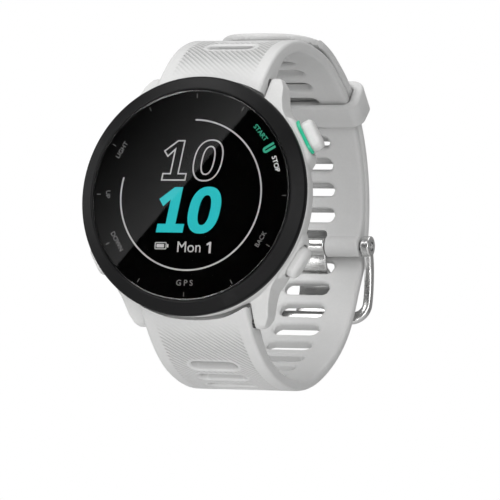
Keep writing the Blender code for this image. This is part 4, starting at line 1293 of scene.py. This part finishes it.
# The cover on the wrist side. The port is a rounded box in (x, y).
back = {
    "cover": [
        (15.3, 3.0), (15.3, 2.1), (15.75, 2.1), (15.75, 1.7), (16.35, 1.7), (16.35, 2.1), (17.95, 2.1),
        (18.15, 1.9), (17.7, 1.3), (17.0, 1.1), (9.6, 1.1), (8.8, 0.35), (7.7, 0.3), (7.7, 2.0), (14.6, 2.0),
        (14.6, 3.0),
    ],
    "window": [(0, 1.2), (7.4, 1.2), (7.4, 0.35), (6.6, 0), (0, 0)],
    "port": ((-3.6, -13.3), (3.6, -10.7)), "portCorner": 0.6, "pinPitch": 1.5, "pinY": -12, "pinHole": 0.55,
}


def buildBack():
    cover = turnedPiece("backCover", back["cover"], 0.15)
    port = roundedBox(*back["port"], back["portCorner"])
    cuts = [prismPiece("chargePort", port, 0.5, 1.45)]
    for number in range(4):
        x = back["pinPitch"] * (number - 1.5)
        cuts.append(rodPiece("pinHole", back["pinHole"], (x, back["pinY"], 0.6), (x, back["pinY"], 2.4), 0))
    for angle in case["screwAngles"]:
        x, y = arcPoints(case["screwCircle"], angle, angle, 1)[0]
        cuts.append(rodPiece("screwSeat", 0.95, (x, y, 0.5), (x, y, 1.7), 0))
        cuts.append(rodPiece("screwWay", 0.6, (x, y, 0.5), (x, y, 2.6), 0))
    combine(cover, cuts)
    dress(smooth(cover), "light_polymer", "case", "back_cover")
    window = turnedPiece("sensorWindow", back["window"], 0.2)
    dress(window, "sensor_glass", "case", "sensor_window")


buildBack()

# every CAD piece that stays gets the procedural finish of its own slot
replaced = {name for obj in bpy.data.objects for name in (obj.get("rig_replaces") or ())}
slotOf = {part["node"]: part["material_slot"] for part in frame["record"]["subparts"]}
for node, obj in nodes.items():
    finish = finishes[slotOf[node]]
    if not obj.material_slots:
        obj.data.materials.append(finish)
    for slot in obj.material_slots:
        slot.material = finish
print("back and inner pieces dressed")

# Floor, light and camera, in metres
camera = {"place": (0.2749, -0.6476, -0.1020), "lens": 292.0}
# each lamp is its place, what it aims at, its size and its power
studio = {
    "fill": (0.08, 0.3),
    "lamps": {
        "keyLamp": ((-0.30, -0.55, 0.62), (0, 0.01, 0), (0.5, 0.5), 4.9),
        "topLamp": ((0.15, 0.1, 0.85), (0, 0.02, 0), (0.7, 0.5), 2.7),
        "sideLamp": ((0.56, -0.7, 0.1), (0, 0.02, 0), (0.5, 0.6), 4.0),
        "leftLamp": ((-0.85, -0.25, 0.12), (0, 0.02, 0), (0.5, 0.6), 1.8),
        "lowLamp": ((-0.1, -0.8, -0.26), (0, 0.02, 0), (0.5, 0.15), 2.4),
    },
}


def buildCamera():
    data = bpy.data.cameras.new("camera")
    data.lens = camera["lens"]
    data.sensor_width = 36.0
    data.clip_start = 0.01
    eye = bpy.data.objects.new("camera", data)
    right = Vector((0.9255, 0.373, 0.0665))
    up = Vector((-0.0115, -0.1485, 0.989))
    back = right.cross(up).normalized()
    up = back.cross(right).normalized()
    turn = Matrix((right.normalized(), up, back)).transposed().to_4x4()
    eye.matrix_world = Matrix.Translation(camera["place"]) @ turn
    bpy.context.scene.collection.objects.link(eye)
    bpy.context.scene.camera = eye


def softbox(name, place, target, size, power):
    lamp = bpy.data.lights.new(name, "AREA")
    lamp.shape = "RECTANGLE"
    lamp.size, lamp.size_y = size
    lamp.energy = power
    obj = bpy.data.objects.new(name, lamp)
    aim = Vector(target) - Vector(place)
    obj.matrix_world = Matrix.Translation(place) @ aim.to_track_quat("-Z", "Y").to_matrix().to_4x4()
    bpy.context.scene.collection.objects.link(obj)


def buildFloor():
    data = bpy.data.meshes.new("floor")
    data.from_pydata([(-3, -3, -0.35), (3, -3, -0.35), (3, 3, -0.35), (-3, 3, -0.35)], [], [(0, 1, 2, 3)])
    floor = bpy.data.objects.new("floor", data)
    bpy.context.scene.collection.objects.link(floor)
    material, tree, shader = newMaterial("paleFloor")
    grain = placeGroup(tree, grainGroup, Scale=60.0)
    tone = mixColour(tree, grain.outputs["Speckle"], (0.8, 0.8, 0.8), (0.83, 0.83, 0.83))
    tree.links.new(tone, shader.inputs["Base Color"])
    shader.inputs["Roughness"].default_value = 0.8
    data.materials.append(material)


# the lamp that the glass mirrors has one straight edge, and beyond the edge a dark flag
mirror = {"away": 0.32, "edgeFrom": (9.80, 14.75), "edgeTo": (-12.89, -12.47), "strength": 0.36, "fade": 17.0}


def buildMirroredCard():
    eye = Vector(camera["place"])
    glassY = -0.0116
    behind = Vector((eye.x, 2 * glassY - eye.y, eye.z))
    middle = Vector((0, glassY, 0))
    facing = (middle - behind).normalized()
    centre = middle + facing * mirror["away"]

    def onCard(x, y):
        point = Vector((x * mm, glassY, y * mm))
        ray = point - behind
        return point + ray * ((centre - point).dot(facing) / ray.dot(facing))

    start, end = onCard(*mirror["edgeFrom"]), onCard(*mirror["edgeTo"])
    along = (start - end).normalized()
    inside = (onCard(-8, 8) - start)
    outward = (inside - along * inside.dot(along)).normalized()
    scale = (start - end).length / (Vector(mirror["edgeFrom"]) - Vector(mirror["edgeTo"])).length
    fade = mirror["fade"] * scale
    middleEdge = (start + end) / 2
    for name, low, high in (("mirrorCard", 0.0, fade), ("darkFlag", -3.0 * fade, 0.0)):
        half = 2.2 * fade
        sides = ((-half, low), (half, low), (half, high), (-half, high))
        corners = [middleEdge + along * a + outward * b for a, b in sides]
        data = bpy.data.meshes.new(name)
        turn = Matrix((along, outward, along.cross(outward))).transposed().to_4x4()
        place = Matrix.Translation(middleEdge) @ turn
        data.from_pydata([place.inverted() @ c for c in corners], [], [(0, 1, 2, 3)])
        obj = bpy.data.objects.new(name, data)
        obj.matrix_world = place
        bpy.context.scene.collection.objects.link(obj)
        material = bpy.data.materials.new(name)
        material.use_nodes = True
        tree = material.node_tree
        tree.nodes.clear()
        out = tree.nodes.new("ShaderNodeOutputMaterial")
        light = tree.nodes.new("ShaderNodeEmission")
        light.inputs["Strength"].default_value = mirror["strength"] if low == 0.0 else 0.0
        coords = tree.nodes.new("ShaderNodeTexCoord").outputs["Object"]
        parts = tree.nodes.new("ShaderNodeSeparateXYZ")
        tree.links.new(coords, parts.inputs[0])
        ramp = addRange(tree, parts.outputs["Y"], 0.0, fade, 1.0, 0.0)
        tree.links.new(addMath(tree, "POWER", ramp, 1.6), light.inputs["Color"])
        tree.links.new(light.outputs[0], out.inputs["Surface"])
        data.materials.append(material)
        obj.visible_camera = False
        obj.visible_diffuse = False
        obj.visible_shadow = False


def buildWorld():
    world = bpy.data.worlds.new("studio")
    bpy.context.scene.world = world
    world.use_nodes = True
    tree = world.node_tree
    tree.nodes.clear()
    out = tree.nodes.new("ShaderNodeOutputWorld")
    seen = tree.nodes.new("ShaderNodeBackground")
    seen.inputs["Color"].default_value = (1.0, 1.0, 1.0, 1.0)
    seen.inputs["Strength"].default_value = 1.0
    fill = tree.nodes.new("ShaderNodeBackground")
    fill.inputs["Strength"].default_value = 1.0
    heading = tree.nodes.new("ShaderNodeTexCoord").outputs["Generated"]
    parts = tree.nodes.new("ShaderNodeSeparateXYZ")
    tree.links.new(heading, parts.inputs[0])
    toFront = addMath(tree, "MULTIPLY", parts.outputs["Y"], 0.9)
    toTop = addMath(tree, "MULTIPLY", parts.outputs["Z"], 0.55)
    lit = addRange(tree, addMath(tree, "ADD", toFront, toTop), -0.75, 0.75, *studio["fill"])
    tree.links.new(lit, fill.inputs["Color"])
    path = tree.nodes.new("ShaderNodeLightPath")
    mix = tree.nodes.new("ShaderNodeMixShader")
    tree.links.new(path.outputs["Is Camera Ray"], mix.inputs[0])
    tree.links.new(fill.outputs[0], mix.inputs[1])
    tree.links.new(seen.outputs[0], mix.inputs[2])
    tree.links.new(mix.outputs[0], out.inputs["Surface"])


bpy.context.scene.view_settings.view_transform = "Standard"
buildCamera()
buildFloor()
buildMirroredCard()
buildWorld()
for lampName, lamp in studio["lamps"].items():
    softbox(lampName, *lamp)
print("studio ready")
